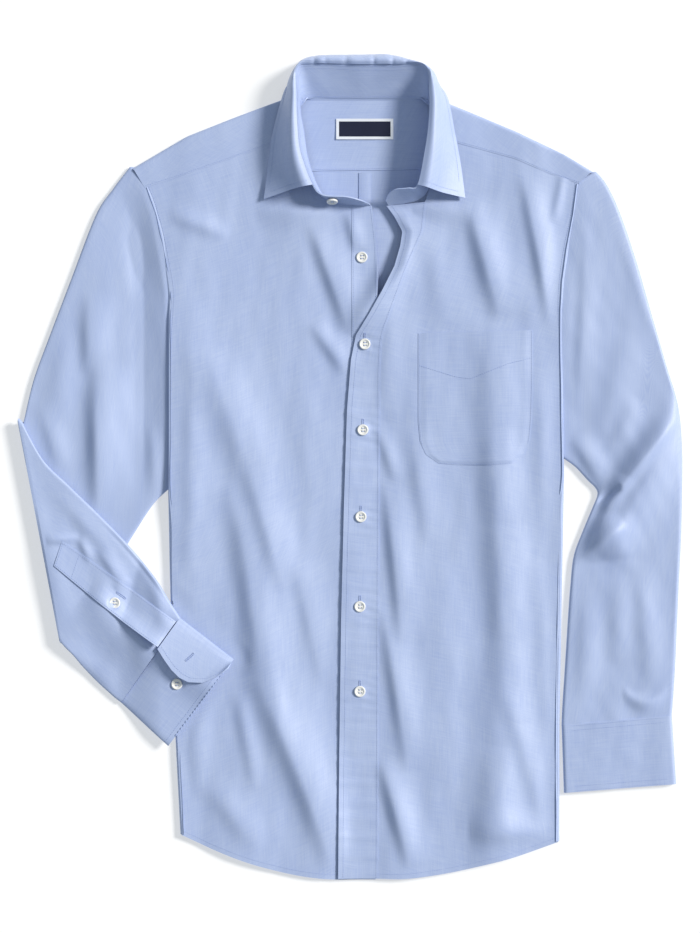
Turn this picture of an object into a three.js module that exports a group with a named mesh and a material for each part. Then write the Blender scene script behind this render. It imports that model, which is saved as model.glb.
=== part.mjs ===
// A long sleeve dress shirt laid flat on its back, buttoned down the front, with one sleeve folded over.
// Millimetres, +Z up from the table, +Y towards the collar. Left and right are the wearer's own, so the
// right sleeve and the right front lie on the -X side.
import * as THREE from 'three';

// Driving sizes
const CLOTH = 1.2;
const TRIM = 1.0;
const SEAM_GAP = 0.3;
const REST_GAP = 0.6;
const BODY_TOP = 6.4;
const UNDERLAP_DROP = 2.2;
const BUTTON_DIAMETER = 11.4;
const BUTTON_THICKNESS = 2.4;
const BUTTON_HOLE = 1.9;
const BUTTON_HOLE_PITCH = 3.0;
const LABEL_SIZE = { wide: 58, deep: 21, thick: 0.6 };
const LABEL_PLACE = { x: 15, y: 344.5 };
const FOLD_AXIS_HEIGHT = 6;
const CUFF_LAYER = 4.0;
const CUFF_FLAP = 5.8;

// A table's rows become objects that are read by column name.
function table(header, rows) {
  const names = header.split(' ');
  return rows.map((row) => Object.fromEntries(names.map((name, k) => [name, row[k]])));
}

// Side edge of each front, from the shoulder to the hem: how far out it lies, how high its top face is,
// how much of a half turn it rolls under, the radius of that roll and the flat turned under beyond it.
const RIGHT_SIDE = table('y x top turn radius flange', [
  [285, -209, 6.4, 0.4, 3.0, 1],
  [256, -199, 6.4, 0.4, 3.0, 1],
  [206, -189, 7.2, 0.4, 3.0, 0.4],
  [175, -184, 8.0, 0.5, 2.4, 0.4],
  [150, -184, 9.2, 0.7, 2.0, 0.4],
  [125, -184, 9.4, 0.9, 2.0, 1],
  [40, -184, 9.2, 0.9, 2.0, 1],
  [-25, -184, 9.2, 0.9, 2.0, 1],
  [-60, -183.5, 7.6, 1, 3.8, 2],
  [-95, -183, 6.6, 1, 3.3, 22],
  [-180, -181, 6.4, 1, 3.2, 24],
  [-276, -177, 6.4, 1, 3.2, 24],
  [-371, -172, 6.4, 1, 3.2, 22],
]);
const LEFT_SIDE = table('y x top turn radius flange', [
  [289, 233, 6.4, 0.4, 3.0, 1],
  [258, 229, 6.4, 0.4, 3.0, 1],
  [221, 222, 7.2, 0.4, 3.0, 0.4],
  [189, 217, 8.0, 0.5, 2.4, 0.4],
  [160, 215, 9.2, 0.7, 2.0, 0.4],
  [130, 215, 9.4, 0.9, 2.0, 1],
  [60, 216, 9.2, 0.9, 2.0, 1],
  [-6, 217, 9.2, 0.9, 2.0, 1],
  [-40, 216.5, 7.6, 1, 3.8, 2],
  [-72, 216, 6.6, 1, 3.3, 22],
  [-150, 214.5, 6.4, 1, 3.2, 24],
  [-260, 212.5, 6.4, 1, 3.2, 24],
  [-378, 212.5, 6.4, 1, 3.2, 22],
]);

// Seams and edges in plan
const RIGHT_YOKE_SEAM = table('x y', [
  [-49, 341], [-80, 330], [-124, 314], [-170, 298], [-209, 285],
]);
const LEFT_YOKE_SEAM = table('x y', [
  [87, 339], [108, 331], [140, 322], [167, 315], [204, 299.5], [233, 289],
]);
const RIGHT_NECK = table('x y', [
  [-49, 341], [-47, 328], [-43, 311], [-34, 287], [-22, 274], [-8, 268.5], [3, 267],
]);
const LEFT_NECK = table('x y', [[87, 339], [88, 323], [86, 300], [80, 282], [76, 270]]);
const RIGHT_HEM = table('x y', [
  [2, -418], [-13, -418], [-50, -414], [-95, -403], [-133, -389], [-172, -371],
]);
const LEFT_HEM = table('x y', [
  [27.3, -416], [57, -416], [101, -410], [136, -402], [170, -393], [213, -378],
]);
const BAND = table('y seam edge', [
  [267, 3, 22], [235, 3, 26], [195, 3, 28], [130, 3, 27], [-150, 2, 26], [-417, 2, 26],
]);
const PLACKET = table('y edge seam', [
  [266, 37, 76], [255, 45, 74], [240, 53, 72], [226, 51, 66], [205, 45, 57], [181, 33, 48], [156, 19, 39],
  [135, 6, 32], [110, 1, 29.5], [60, -3, 29], [-32, -6, 28.5], [-154, -9, 28], [-300, -11, 27.5],
  [-416, -12, 27],
]);
const POCKET = table('left right y', [
  [69, 185, 137], [69, 185, 108], [69, 185, 78], [69, 184, 48], [71, 182, 27], [77, 176, 14], [90, 164, 5],
]);

// The back's edges at each height
const BACK = table('y left right', [
  [286, -200, 224], [256, -194, 224], [206, -184, 214], [175, -179, 209], [150, -174, 203],
  [120, -168, 197], [60, -168, 197], [-20, -168, 197], [-80, -152, 184], [-180, -150, 184],
  [-276, -147, 183], [-368, -143, 184],
]);
const BACK_HEM_DIP = 42;
const BACK_PLEAT = { x: 15, high: 0.9, wide: 3, from: 300, to: 150 };

// Yoke: the seam with the back, the shoulder line it rolls over, and its front or neck edge
const YOKE = table('backX backY ridgeX ridgeY endX endY turn', [
  [-201, 287, -221, 304, -209, 286, 1],
  [-160, 291, -165, 337, -170, 298.4, 1],
  [-115, 295, -117, 356, -124, 314.4, 1],
  [-80, 298, -70, 373.5, -80, 330.7, 1],
  [-58, 300, -58, 376, -49, 341.8, 1],
  [-47, 301, -54, 377, -50, 357, 1],
  [-37, 301.5, -52, 377.5, -51, 368, 1],
  [-28, 302, -40, 376, -40, 376, 0.15],
  [14, 302.5, 14, 376, 14, 376, 0.15],
  [56, 303, 68, 376, 68, 376, 0.15],
  [65, 303.5, 80, 377.5, 82, 368, 1],
  [76, 303, 84, 376, 86, 356, 1],
  [92, 302.5, 92, 373.5, 87.5, 339.4, 1],
  [120, 301, 120, 362, 108, 331.8, 1],
  [165, 297, 170, 341, 167, 315.8, 1],
  [204, 293, 218, 318, 204, 300, 1],
  [225, 289, 246, 301, 233.5, 290, 1],
]);

// Collar stand: its neck seam and its top edge, from the right front end round to the left one
const STAND = table('seamX seamY seamZ topX topY topZ', [
  [21, 266, 7.4, 19, 268, 12],
  [10, 266.5, 7.4, 10, 270.5, 21],
  [-5, 268, 7.4, -4, 273.5, 25],
  [-22, 272.5, 7.4, -27, 275, 28],
  [-32, 284, 7.4, -37.5, 285, 29],
  [-42, 311, 7.4, -49.5, 317, 30],
  [-47, 341, 7.4, -53, 345, 30],
  [-50.5, 370, 7.4, -54, 374, 28],
  [-39, 377, 3.4, -53, 403, 24],
  [-16, 377, 3.1, -37.5, 408, 22],
  [14, 377, 3.1, 10, 407.5, 21],
  [45, 377, 3.1, 43, 407.5, 21],
  [67, 377, 3.4, 75, 405, 24],
  [82, 370, 7.4, 80, 374, 28],
  [88, 340, 7.4, 79, 345, 30],
  [87, 310, 7.4, 75, 317, 30],
  [79, 283, 7.4, 68, 285, 29],
  [70, 273, 7.4, 58, 282, 27],
  [56, 269, 7.4, 46, 281, 24],
  [45, 267.5, 7.4, 39, 277, 19],
  [39, 266.5, 7.4, 36, 271, 12],
]);

// Collar fall: at each place along the top of the stand, its widest or middle place and its free edge.
// tuck is 1 where the edge turns in under the collar on the table, and 0 where it lies on the front.
const FALL = table('along outX outY outZ edgeX edgeY edgeZ tuck', [
  [4, -61, 280.5, 22, -87, 272.5, 11, 0],
  [5, -67, 306, 22, -83, 304, 9.2, 0],
  [6, -67, 341, 22, -78.5, 337, 8.6, 0],
  [7, -63, 375.5, 21, -68, 377, 8.6, 0.1],
  [7.5, -62, 391, 14, -60.5, 392, 1, 0.8],
  [8, -53, 408, 14, -48, 400, 0.9, 1],
  [9, -37, 416.5, 12, -34, 403, 0.9, 1],
  [10, 10, 418, 11, 10, 402, 0.9, 1],
  [11, 44, 417.5, 11, 42, 402, 0.9, 1],
  [12, 79, 405, 14, 72, 398, 0.9, 1],
  [12.5, 89, 390, 14, 87, 391, 1, 0.8],
  [13, 93, 375, 21, 98.5, 375, 8.6, 0.1],
  [14, 94, 343, 22, 106, 339.5, 8.6, 0],
  [15, 95, 312, 22, 112, 307, 9.2, 0],
  [16, 91.5, 278.5, 22, 116.5, 273.5, 11, 0],
]);

// Sleeves: the two edges at each section, how much of the armhole's curve it keeps, its turn about the
// fold, and the height of its top face at each edge. The right one turns right over and comes back.
const RIGHT_SLEEVE = table('aX aY bX bY bow turn highA highB', [
  [-223.5, 306, -173, -12, 1, 0, 4.6, 4.6],
  [-241, 283, -185, -22, 0.85, 0, 5.2, 4.6],
  [-258, 257, -200, -37, 0.65, 0, 5.6, 4.8],
  [-283, 192, -219, -66, 0.35, 0, 5.6, 5.2],
  [-305, 134, -240, -101, 0.12, 0, 5.6, 5.4],
  [-321, 90, -264, -138, 0, 0, 5.5, 5.4],
  [-331, 48, -286, -176, 0, 0, 5.4, 5.4],
  [-331, 48, -286, -176, 0, 0.25, 5.4, 5.4],
  [-331, 48, -286, -176, 0, 0.5, 5.4, 5.4],
  [-331, 48, -286, -176, 0, 0.75, 5.4, 5.4],
  [-331, 48, -286, -176, 0, 1, 5.4, 5.4],
  [-311, 9, -280, -190, 0, 1, 5.4, 5.4],
  [-285, -17, -272, -200, 0, 1, 5.4, 5.4],
  [-254, -47, -263, -210, 0, 1, 5.4, 5.4],
  [-224, -78, -254, -219, 0, 1, 5.4, 5.4],
  [-197, -111, -244, -228, 0, 1, 5.4, 5.4],
  [-184, -132, -239, -232.5, 0, 1, 5.4, 5.4],
  [-172.4, -150.6, -233.4, -236.6, 0, 1, 5.4, 5.4],
]);
const LEFT_SLEEVE = table('aX aY bX bY bow turn highA highB', [
  [250, 301, 203, 22, 1, 0, 4.6, 4.6],
  [261, 287, 208, 17, 0.9, 0, 5.2, 4.6],
  [274, 259, 217, 10, 0.7, 0, 5.8, 4.6],
  [290, 212, 229, 1, 0.4, 0, 6.0, 5.0],
  [305, 160, 241, -12, 0.15, 0, 6.2, 5.4],
  [320, 108, 249, -20, 0, 0, 6.4, 5.4],
  [333, 63, 251, -27, 0, 0, 6.4, 5.4],
  [337, 20, 246, -40, 0, 0, 6.4, 5.4],
  [337, -25, 236, -64, 0, 0, 6.4, 5.4],
  [336, -70, 227, -89, 0, 0, 6.4, 5.6],
  [334, -110, 223.5, -120, 0, 0, 6.4, 5.8],
  [332, -154, 221, -154, 0, 0, 6.4, 6.0],
  [330, -200, 218, -202, 0, 0, 6.4, 6.0],
  [328, -232, 215.5, -240, 0, 0, 6.2, 6.0],
  [326.5, -251.4, 214.6, -261.4, 0, 0, 6.0, 6.0],
]);
const RIGHT_ARMHOLE = table('x y', [
  [-223.5, 306], [-211, 285.5], [-205.6, 273], [-201.6, 256], [-196, 236], [-192, 206], [-187.5, 175],
  [-182, 150], [-176, 120], [-173, 60], [-173, -12],
]);
const LEFT_ARMHOLE = table('x y', [
  [250, 301], [235.4, 289], [233.4, 276], [231.6, 258], [229, 239], [225, 221], [220, 189], [214, 158],
  [207, 125], [203, 95], [203, 22],
]);

// Cuffs in plan: the seam with the sleeve and the end, and the free edge of the open cuff's flap
const RIGHT_CUFF = { seamA: [-172, -151], seamB: [-233, -237], endA: [-117.5, -193], endB: [-184, -281] };
const LEFT_CUFF = { seamA: [326.6, -252], seamB: [214.7, -262], endA: [331, -320], endB: [217, -329] };
const FLAP = table('along across', [
  [0, 0.36], [0.18, 0.4], [0.35, 0.43], [0.51, 0.44], [0.66, 0.42], [0.84, 0.34], [0.95, 0.22], [1, 0.09],
]);
const GAUNTLET = { low: [[-299, -98.5], [-205, -172]], high: [[-291, -73], [-190, -152]] };

// Largest folds: a soft ridge (high above 0) or trough (below 0) along each line
const FRONT_FOLDS = table('x0 y0 x1 y1 wide high', [
  [54, 262, 62, 218, 12, 2.8],
  [63, 244, 50, 196, 12, 2.8],
  [56, 214, 34, 162, 10, 2.2],
  [-165, 120, -88, -75, 14, -1.8],
  [-140, 130, -70, -110, 16, 1.8],
  [-135, -20, -105, -180, 13, -1.8],
  [-118, -160, -24, -412, 13, -2.2],
  [-92, -120, -8, -400, 15, 2.2],
  [-45, 150, -12, 40, 12, -1.2],
  [-26, 262, 2, 165, 12, -1.6],
  [112, 280, 148, 160, 12, -2.0],
  [132, 285, 165, 165, 14, 2.2],
  [166, 285, 196, 160, 13, -1.6],
  [128, 150, 132, -240, 17, -1.6],
  [152, 160, 150, -300, 18, 1.6],
  [120, -220, 118, -400, 16, -1.8],
  [156, -330, 160, -400, 16, -1.4],
  [34, -20, 54, -400, 9, -1.6],
  [62, 60, 72, -400, 16, 2.2],
  [-150, -250, -95, -395, 24, 1.2],
  [196, 120, 190, -340, 16, 1.2],
]);
const RIGHT_SLEEVE_FOLDS = table('x0 y0 x1 y1 wide high', [
  [-224, 296, -212, 150, 9, -2.2],
  [-212, 200, -204, 20, 9, -1.6],
  [-215, 262, -204, 190, 7, 0.8],
  [-258, 240, -240, 30, 20, 1.6],
  [-270, 150, -262, -20, 9, -1.4],
  [-298, 130, -290, 10, 16, 0.8],
]);
const LEFT_SLEEVE_FOLDS = table('x0 y0 x1 y1 wide high', [
  [268, 250, 310, 110, 12, -1.6],
  [242, 262, 262, 60, 18, 1.8],
  [244, -22, 330, 58, 11, -2.2],
  [256, -42, 336, 30, 11, 2.6],
  [232, -84, 292, -8, 9, -2.0],
  [262, -84, 320, -30, 16, 1.4],
  [290, -60, 286, -230, 22, 1.4],
  [250, -120, 246, -245, 18, 0.8],
  [296, -222, 322, -208, 8, -1.2],
]);

// Buttons: where each one sits. The stand's one starts in front of the stand and leans with it.
const FRONT_BUTTONS = table('x y', [[15, 126], [13, 39], [11, -49], [10, -140], [10, -226]]);
const TOP_BUTTON = { x: 12, y: 214 };
const STAND_BUTTON = { x: -18, y: 250, z: 24.5, lean: 1.25 };
const CUFF_BUTTON = { x: -175, y: -218 };
const GAUNTLET_BUTTON = { x: -238, y: -136 };

const { lerp, clamp, smoothstep } = THREE.MathUtils;

const point = (x, y, z) => new THREE.Vector3(x, y, z);

// One row of a table at a place between its rows, on a smooth curve through every column.
function rowAt(rows, place) {
  const last = rows.length - 1;
  const k = clamp(Math.floor(place), 0, last - 1);
  const t = clamp(place - k, 0, 1);
  const [a, b, c, d] = [-1, 0, 1, 2].map((step) => rows[clamp(k + step, 0, last)]);
  const blend = {};
  for (const name of Object.keys(b)) {
    const rise = (c[name] - a[name]) / 2;
    const fall = (d[name] - b[name]) / 2;
    const h = t * t * (3 - 2 * t);
    blend[name] = lerp(b[name], c[name], h) + rise * t * (1 - t) * (1 - t) - fall * t * t * (1 - t);
  }
  return blend;
}

// A straight step between two rows.
function between(low, high, t) {
  return Object.fromEntries(Object.keys(low).map((name) => [name, lerp(low[name], high[name], t)]));
}

// One row of a table at a place between its rows, with straight steps.
function straightRow(rows, place) {
  const k = clamp(Math.floor(place), 0, rows.length - 2);
  return between(rows[k], rows[k + 1], place - k);
}

// The same, read by the value of one column that runs steadily up or down.
function rowBy(rows, name, value) {
  const falling = rows[0][name] > rows[1][name];
  let k = rows.findIndex((row) => (falling ? row[name] <= value : row[name] >= value));
  k = k < 0 ? rows.length - 1 : Math.max(k, 1);
  const [low, high] = [rows[k - 1], rows[k]];
  return between(low, high, clamp((value - low[name]) / (high[name] - low[name]), 0, 1));
}

// A plan curve through the rows, read by its share of the length.
function curve(rows) {
  return new THREE.CatmullRomCurve3(rows.map((row) => point(row.x, row.y, 0)), false, 'centripetal');
}

// A seam with corners: straight from row to row, read by its share of the length.
function seamLine(rows, shiftY = 0) {
  const path = new THREE.CurvePath();
  rows.slice(1).forEach((row, k) => path.add(new THREE.LineCurve3(
    point(rows[k].x, rows[k].y + shiftY, 0),
    point(row.x, row.y + shiftY, 0),
  )));
  return path;
}

// Height of a set of folds over one place.
function foldsAt(rows, x, y) {
  let total = 0;
  for (const { x0, y0, x1, y1, wide, high } of rows) {
    const [runX, runY] = [x1 - x0, y1 - y0];
    const share = ((x - x0) * runX + (y - y0) * runY) / (runX * runX + runY * runY);
    if (share <= 0 || share >= 1) continue;
    const aside = ((x - x0) * runY - (y - y0) * runX) / Math.hypot(runX, runY);
    total += high * 4 * share * (1 - share) * Math.exp(-((aside / wide) ** 2));
  }
  return total;
}

// Top face of the fronts. The right front sinks near the middle, where the left front laps over it.
const SIDE_BLEND = 60;
function frontTop(x, y, sideRows, outward) {
  const side = rowBy(sideRows, 'y', y);
  const fromSide = outward * (side.x - x);
  const near = 1 - smoothstep(fromSide, 0, SIDE_BLEND);
  let z = BODY_TOP + foldsAt(FRONT_FOLDS, x, y) * (1 - near);
  if (outward < 0) z -= UNDERLAP_DROP * smoothstep(x, -48, -14) * (1 - smoothstep(y, 195, 255));
  return lerp(z, side.top, near);
}

// Closed solids
function bodyFrom(points, faces) {
  let volume = 0;
  for (const [a, b, c] of faces) volume += points[a].dot(points[b].clone().cross(points[c]));
  const turned = volume < 0 ? faces.map(([a, b, c]) => [a, c, b]) : faces;
  const geometry = new THREE.BufferGeometry();
  const places = points.flatMap((p) => p.toArray());
  geometry.setAttribute('position', new THREE.Float32BufferAttribute(places, 3));
  geometry.setIndex(turned.flat());
  geometry.computeVertexNormals();
  return geometry;
}

function quad(faces, a, b, c, d) {
  faces.push([a, b, c], [a, c, d]);
}

// The way out of a sheet at each of its points, straight up wherever the sheet lies nearly flat.
const NEARLY_FLAT = 0.72;
function normalsOf(grid) {
  const last = grid.length - 1;
  return grid.map((line, i) => line.map((_, j) => {
    const end = line.length - 1;
    const along = grid[Math.min(i + 1, last)][j].clone().sub(grid[Math.max(i - 1, 0)][j]);
    const across = line[Math.min(j + 1, end)].clone().sub(line[Math.max(j - 1, 0)]);
    const out = along.cross(across).normalize();
    return Math.abs(out.z) > NEARLY_FLAT ? out.set(0, 0, Math.sign(out.z)) : out;
  }));
}

// A wall of cloth on a grid of points. share says how much of the wall lies behind the grid.
function sheet(grid, wall, share = 1) {
  const normals = normalsOf(grid);
  const rows = grid.length;
  const columns = grid[0].length;
  const face = (out) => grid.flatMap((line, i) => line.map((p, j) => (
    p.clone().addScaledVector(normals[i][j], out)
  )));
  const points = [...face(wall * (1 - share)), ...face(-wall * share)];
  const back = rows * columns;
  const [endRow, endColumn] = [rows - 1, columns - 1];
  const at = (i, j) => i * columns + j;
  const faces = [];
  for (let i = 0; i + 1 < rows; i += 1) {
    for (let j = 0; j + 1 < columns; j += 1) {
      quad(faces, at(i, j), at(i + 1, j), at(i + 1, j + 1), at(i, j + 1));
      quad(faces, back + at(i, j), back + at(i, j + 1), back + at(i + 1, j + 1), back + at(i + 1, j));
    }
    quad(faces, at(i, 0), back + at(i, 0), back + at(i + 1, 0), at(i + 1, 0));
    const [near, far] = [at(i, endColumn), at(i + 1, endColumn)];
    quad(faces, far, back + far, back + near, near);
  }
  for (let j = 0; j + 1 < columns; j += 1) {
    quad(faces, at(0, j + 1), back + at(0, j + 1), back + at(0, j), at(0, j));
    const [near, far] = [at(endRow, j), at(endRow, j + 1)];
    quad(faces, near, back + near, back + far, far);
  }
  return bodyFrom(points, faces);
}

// An open tube of cloth between matching outer and inner rings.
function tube(outer, inner) {
  const rings = outer.length;
  const count = outer[0].length;
  const points = [...outer.flat(), ...inner.flat()];
  const back = rings * count;
  const at = (i, j) => i * count + (j % count);
  const faces = [];
  for (let j = 0; j < count; j += 1) {
    for (let i = 0; i + 1 < rings; i += 1) {
      quad(faces, at(i, j), at(i + 1, j), at(i + 1, j + 1), at(i, j + 1));
      quad(faces, back + at(i, j), back + at(i, j + 1), back + at(i + 1, j + 1), back + at(i + 1, j));
    }
    quad(faces, at(0, j + 1), back + at(0, j + 1), back + at(0, j), at(0, j));
    const [near, far] = [at(rings - 1, j), at(rings - 1, j + 1)];
    quad(faces, near, back + near, back + far, far);
  }
  return bodyFrom(points, faces);
}

// Materials
const cloth = new THREE.MeshStandardMaterial({ color: 0xb4c4ea, roughness: 0.75, metalness: 0 });
const insideCloth = new THREE.MeshStandardMaterial({ color: 0xa6b8e2, roughness: 0.8, metalness: 0 });
const pearl = new THREE.MeshStandardMaterial({ color: 0xf1efe8, roughness: 0.35, metalness: 0 });
const navy = new THREE.MeshStandardMaterial({ color: 0x262c48, roughness: 0.8, metalness: 0 });

const shirt = new THREE.Group();
function add(name, geometry, material) {
  const mesh = new THREE.Mesh(geometry, material);
  mesh.name = name;
  shirt.add(mesh);
  return mesh;
}

// How far a piece is from one place in one direction, and the height of its top face under a place.
const DROP_FROM = 200;
const DOWN = point(0, 0, -1);
function farTo(mesh, from, way) {
  const hits = new THREE.Raycaster(from, way).intersectObject(mesh);
  if (!hits.length) throw new Error(`${mesh.name} is not met from ${from.toArray()}`);
  return hits[0].distance;
}
function topOf(mesh, x, y) {
  return DROP_FROM - farTo(mesh, point(x, y, DROP_FROM), DOWN);
}
function round(x, y, radius, sides) {
  return Array.from({ length: sides }, (_, k) => {
    const angle = (2 * Math.PI * k) / sides;
    return new THREE.Vector2(x + radius * Math.cos(angle), y + radius * Math.sin(angle));
  });
}

// Fronts: a patch between four edges, then the side rolled under in a half turn and a flat flange. The
// middle edge runs down the neck first, then down the seam of the front's own strip.
const FRONT_COLUMNS = 9;
const NECK_ROWS = 4;
const SEAM_ROWS = 19;
const ROW_CROWDING = 1.3;
const ROLL_STEPS = 4;
function frontGrid(yokeSeam, neck, hem, seam, sideRows, outward) {
  const side = curve(sideRows.map((row) => ({ x: row.x - outward * row.radius, y: row.y })));
  const top = seamLine(yokeSeam, -2 * SEAM_GAP);
  const bottom = curve(hem);
  const middle = new THREE.CurvePath();
  const neckCurve = curve(neck);
  middle.add(neckCurve);
  middle.add(curve([neck[neck.length - 1], ...seam.slice(1)]));
  const neckShare = neckCurve.getLength() / middle.getLength();
  const shares = Array.from({ length: NECK_ROWS }, (_, k) => (neckShare * k) / NECK_ROWS);
  for (let k = 0; k <= SEAM_ROWS; k += 1) {
    shares.push(lerp(neckShare, 1, (k / SEAM_ROWS) ** ROW_CROWDING));
  }
  const corners = [top.getPointAt(0), side.getPointAt(0), bottom.getPointAt(0), side.getPointAt(1)];
  const grid = [];
  for (const t of shares) {
    const line = [];
    for (let j = 0; j <= FRONT_COLUMNS; j += 1) {
      const s = j / FRONT_COLUMNS;
      const p = top.getPointAt(s).multiplyScalar(1 - t).addScaledVector(bottom.getPointAt(s), t);
      p.addScaledVector(middle.getPointAt(t), 1 - s).addScaledVector(side.getPointAt(t), s);
      p.addScaledVector(corners[0], -(1 - s) * (1 - t)).addScaledVector(corners[1], -s * (1 - t));
      p.addScaledVector(corners[2], -(1 - s) * t).addScaledVector(corners[3], -s * t);
      p.z = frontTop(p.x, p.y, sideRows, outward);
      line.push(p);
    }
    const edge = line[FRONT_COLUMNS];
    const row = rowBy(sideRows, 'y', edge.y);
    edge.x = row.x - outward * row.radius;
    edge.z = row.top;
    for (let k = 1; k <= ROLL_STEPS + 1; k += 1) {
      const angle = Math.PI * row.turn * Math.min(k / ROLL_STEPS, 1);
      const flat = k > ROLL_STEPS ? row.flange : 0;
      const x = edge.x + outward * (row.radius * Math.sin(angle) + flat * Math.cos(angle));
      line.push(point(x, edge.y, edge.z - row.radius * (1 - Math.cos(angle)) - flat * Math.sin(angle)));
    }
    grid.push(line);
  }
  return grid;
}
const bandSeam = BAND.map((row) => ({ x: row.seam - SEAM_GAP, y: row.y }));
const placketSeam = PLACKET.map((row) => ({ x: row.seam + SEAM_GAP, y: row.y }));
const rightGrid = frontGrid(RIGHT_YOKE_SEAM, RIGHT_NECK, RIGHT_HEM, bandSeam, RIGHT_SIDE, -1);
const leftGrid = frontGrid(LEFT_YOKE_SEAM, LEFT_NECK, LEFT_HEM, placketSeam, LEFT_SIDE, 1);
add('front_right', sheet(rightGrid.map((line) => [...line].reverse()), CLOTH), cloth);
const frontLeft = add('front_left', sheet(leftGrid, CLOTH), cloth);

// Strips down the two front edges, row for row with the panel that each is sewn to
const STRIP_COLUMNS = 3;
const TILTED_ROWS = 4;
function strip(grid, edgeX, height, outward, tilt) {
  const shares = Array.from({ length: STRIP_COLUMNS + 1 }, (_, j) => j / STRIP_COLUMNS);
  const lines = grid.slice(NECK_ROWS).map(([seam], i) => shares.map((share) => {
    const y = seam.y - tilt * share * Math.max(1 - i / TILTED_ROWS, 0);
    const x = lerp(seam.x - outward * 2 * SEAM_GAP, edgeX(y), share);
    return point(x, y, height(x, y));
  }));
  return sheet(outward < 0 ? lines : lines.map((line) => line.reverse()), CLOTH);
}
const BAND_TILT = 1;
const PLACKET_TILT = 4;
const EDGE_DROP = 3.4;
const EDGE_WIDTH = 11;
const edgeOf = (rows) => (y) => rowBy(rows, 'y', y).edge;
const bandTop = (x, y) => frontTop(x, y, RIGHT_SIDE, -1);
function placketTop(x, y) {
  const { edge } = rowBy(PLACKET, 'y', y);
  const near = 1 - smoothstep(x, edge, edge + EDGE_WIDTH);
  const drop = EDGE_DROP * near * smoothstep(y, 176, 205) * (1 - smoothstep(y, 236, 258));
  return frontTop(x, y, LEFT_SIDE, 1) - drop;
}
const bandStrip = strip(rightGrid, edgeOf(BAND), bandTop, -1, BAND_TILT);
const placketStrip = strip(leftGrid, edgeOf(PLACKET), placketTop, 1, PLACKET_TILT);
const buttonBand = add('button_band', bandStrip, cloth);
const frontPlacket = add('front_placket', placketStrip, cloth);

// Pocket, on the left front's own surface
const POCKET_COLUMNS = 9;
const POCKET_TOP_RISE = 3;
const POCKET_SAG = 2;
const pocketGrid = POCKET.map((row, i) => Array.from({ length: POCKET_COLUMNS + 1 }, (_, j) => {
  const share = j / POCKET_COLUMNS;
  const x = lerp(row.left, row.right, share);
  const sag = i === POCKET.length - 1 ? -POCKET_SAG * Math.sin(Math.PI * share) : 0;
  const y = row.y + (i === 0 ? POCKET_TOP_RISE * share : 0) + sag;
  return point(x, y, topOf(frontLeft, x, y) + REST_GAP + TRIM);
}));
add('pocket', sheet(pocketGrid, TRIM), cloth);

// Back, flat on the table inside the turned-under sides, with the pleat under the yoke
const BACK_COLUMNS = 10;
const BACK_ROWS = 13;
const BACK_SEAM_ROWS = 3;
const BACK_HEM_ROWS = 4;
const backSeam = YOKE.map(({ backX, backY }) => ({ backX, backY }));
const backGrid = [];
for (let i = 0; i <= BACK_ROWS; i += 1) {
  const row = rowAt(BACK, (i / BACK_ROWS) * (BACK.length - 1));
  const line = [];
  for (let j = 0; j <= BACK_COLUMNS; j += 1) {
    const share = j / BACK_COLUMNS;
    const x = lerp(row.left, row.right, share);
    const seam = rowBy(backSeam, 'backX', x).backY - SEAM_GAP;
    const hem = row.y - BACK_HEM_DIP * Math.sin(Math.PI * share);
    const belowSeam = lerp(seam, row.y, smoothstep(i, 0, BACK_SEAM_ROWS));
    line.push(point(x, lerp(belowSeam, hem, smoothstep(i, BACK_ROWS - BACK_HEM_ROWS, BACK_ROWS)), 0));
  }
  backGrid.push(line.reverse());
}
add('back', sheet(backGrid, CLOTH), insideCloth);

// Centre pleat: a narrow fold of the back, below the yoke
const pleatGrid = [0, 0.5, 1].map((t) => [-1, 1].map((way) => point(
  BACK_PLEAT.x + way * BACK_PLEAT.wide,
  lerp(BACK_PLEAT.from, BACK_PLEAT.to, t),
  CLOTH + SEAM_GAP + BACK_PLEAT.high,
)));
add('back_pleat', sheet(pleatGrid, BACK_PLEAT.high), insideCloth);

// Yoke: flat under the neck, rolled over each shoulder line to the front seams
const YOKE_STEPS = 32;
const YOKE_FLAT_STEPS = 3;
const YOKE_TOP_STEPS = 3;
const NECK_LIP = 1.2;
const NECK_TURN = 0.15;
function yokeLine(row) {
  const radius = BODY_TOP / 2;
  const ahead = new THREE.Vector2(row.ridgeX - row.backX, row.ridgeY - row.backY);
  const length = ahead.length() - radius;
  ahead.normalize();
  const line = [];
  for (let k = 0; k < YOKE_FLAT_STEPS; k += 1) {
    const run = (length * k) / YOKE_FLAT_STEPS;
    line.push(point(row.backX + ahead.x * run, row.backY + ahead.y * run, 0));
  }
  const turn = clamp(row.turn, NECK_TURN, 1);
  let last = null;
  for (let k = 0; k <= ROLL_STEPS; k += 1) {
    const angle = (Math.PI * turn * k) / ROLL_STEPS;
    const run = length + radius * Math.sin(angle);
    last = point(row.backX + ahead.x * run, row.backY + ahead.y * run, radius * (1 - Math.cos(angle)));
    line.push(last);
  }
  const angle = Math.PI * turn;
  const lip = last.clone().add(point(
    ahead.x * Math.cos(angle) * NECK_LIP,
    ahead.y * Math.cos(angle) * NECK_LIP,
    Math.sin(angle) * NECK_LIP,
  ));
  const end = lip.lerp(point(row.endX, row.endY, BODY_TOP), smoothstep(turn, NECK_TURN, 1));
  for (let k = 1; k <= YOKE_TOP_STEPS; k += 1) line.push(last.clone().lerp(end, k / YOKE_TOP_STEPS));
  return line;
}
const yokeGrid = [];
for (let i = YOKE_STEPS; i >= 0; i -= 1) {
  yokeGrid.push(yokeLine(straightRow(YOKE, (i / YOKE_STEPS) * (YOKE.length - 1))));
}
add('yoke', sheet(yokeGrid, CLOTH), cloth);

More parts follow.
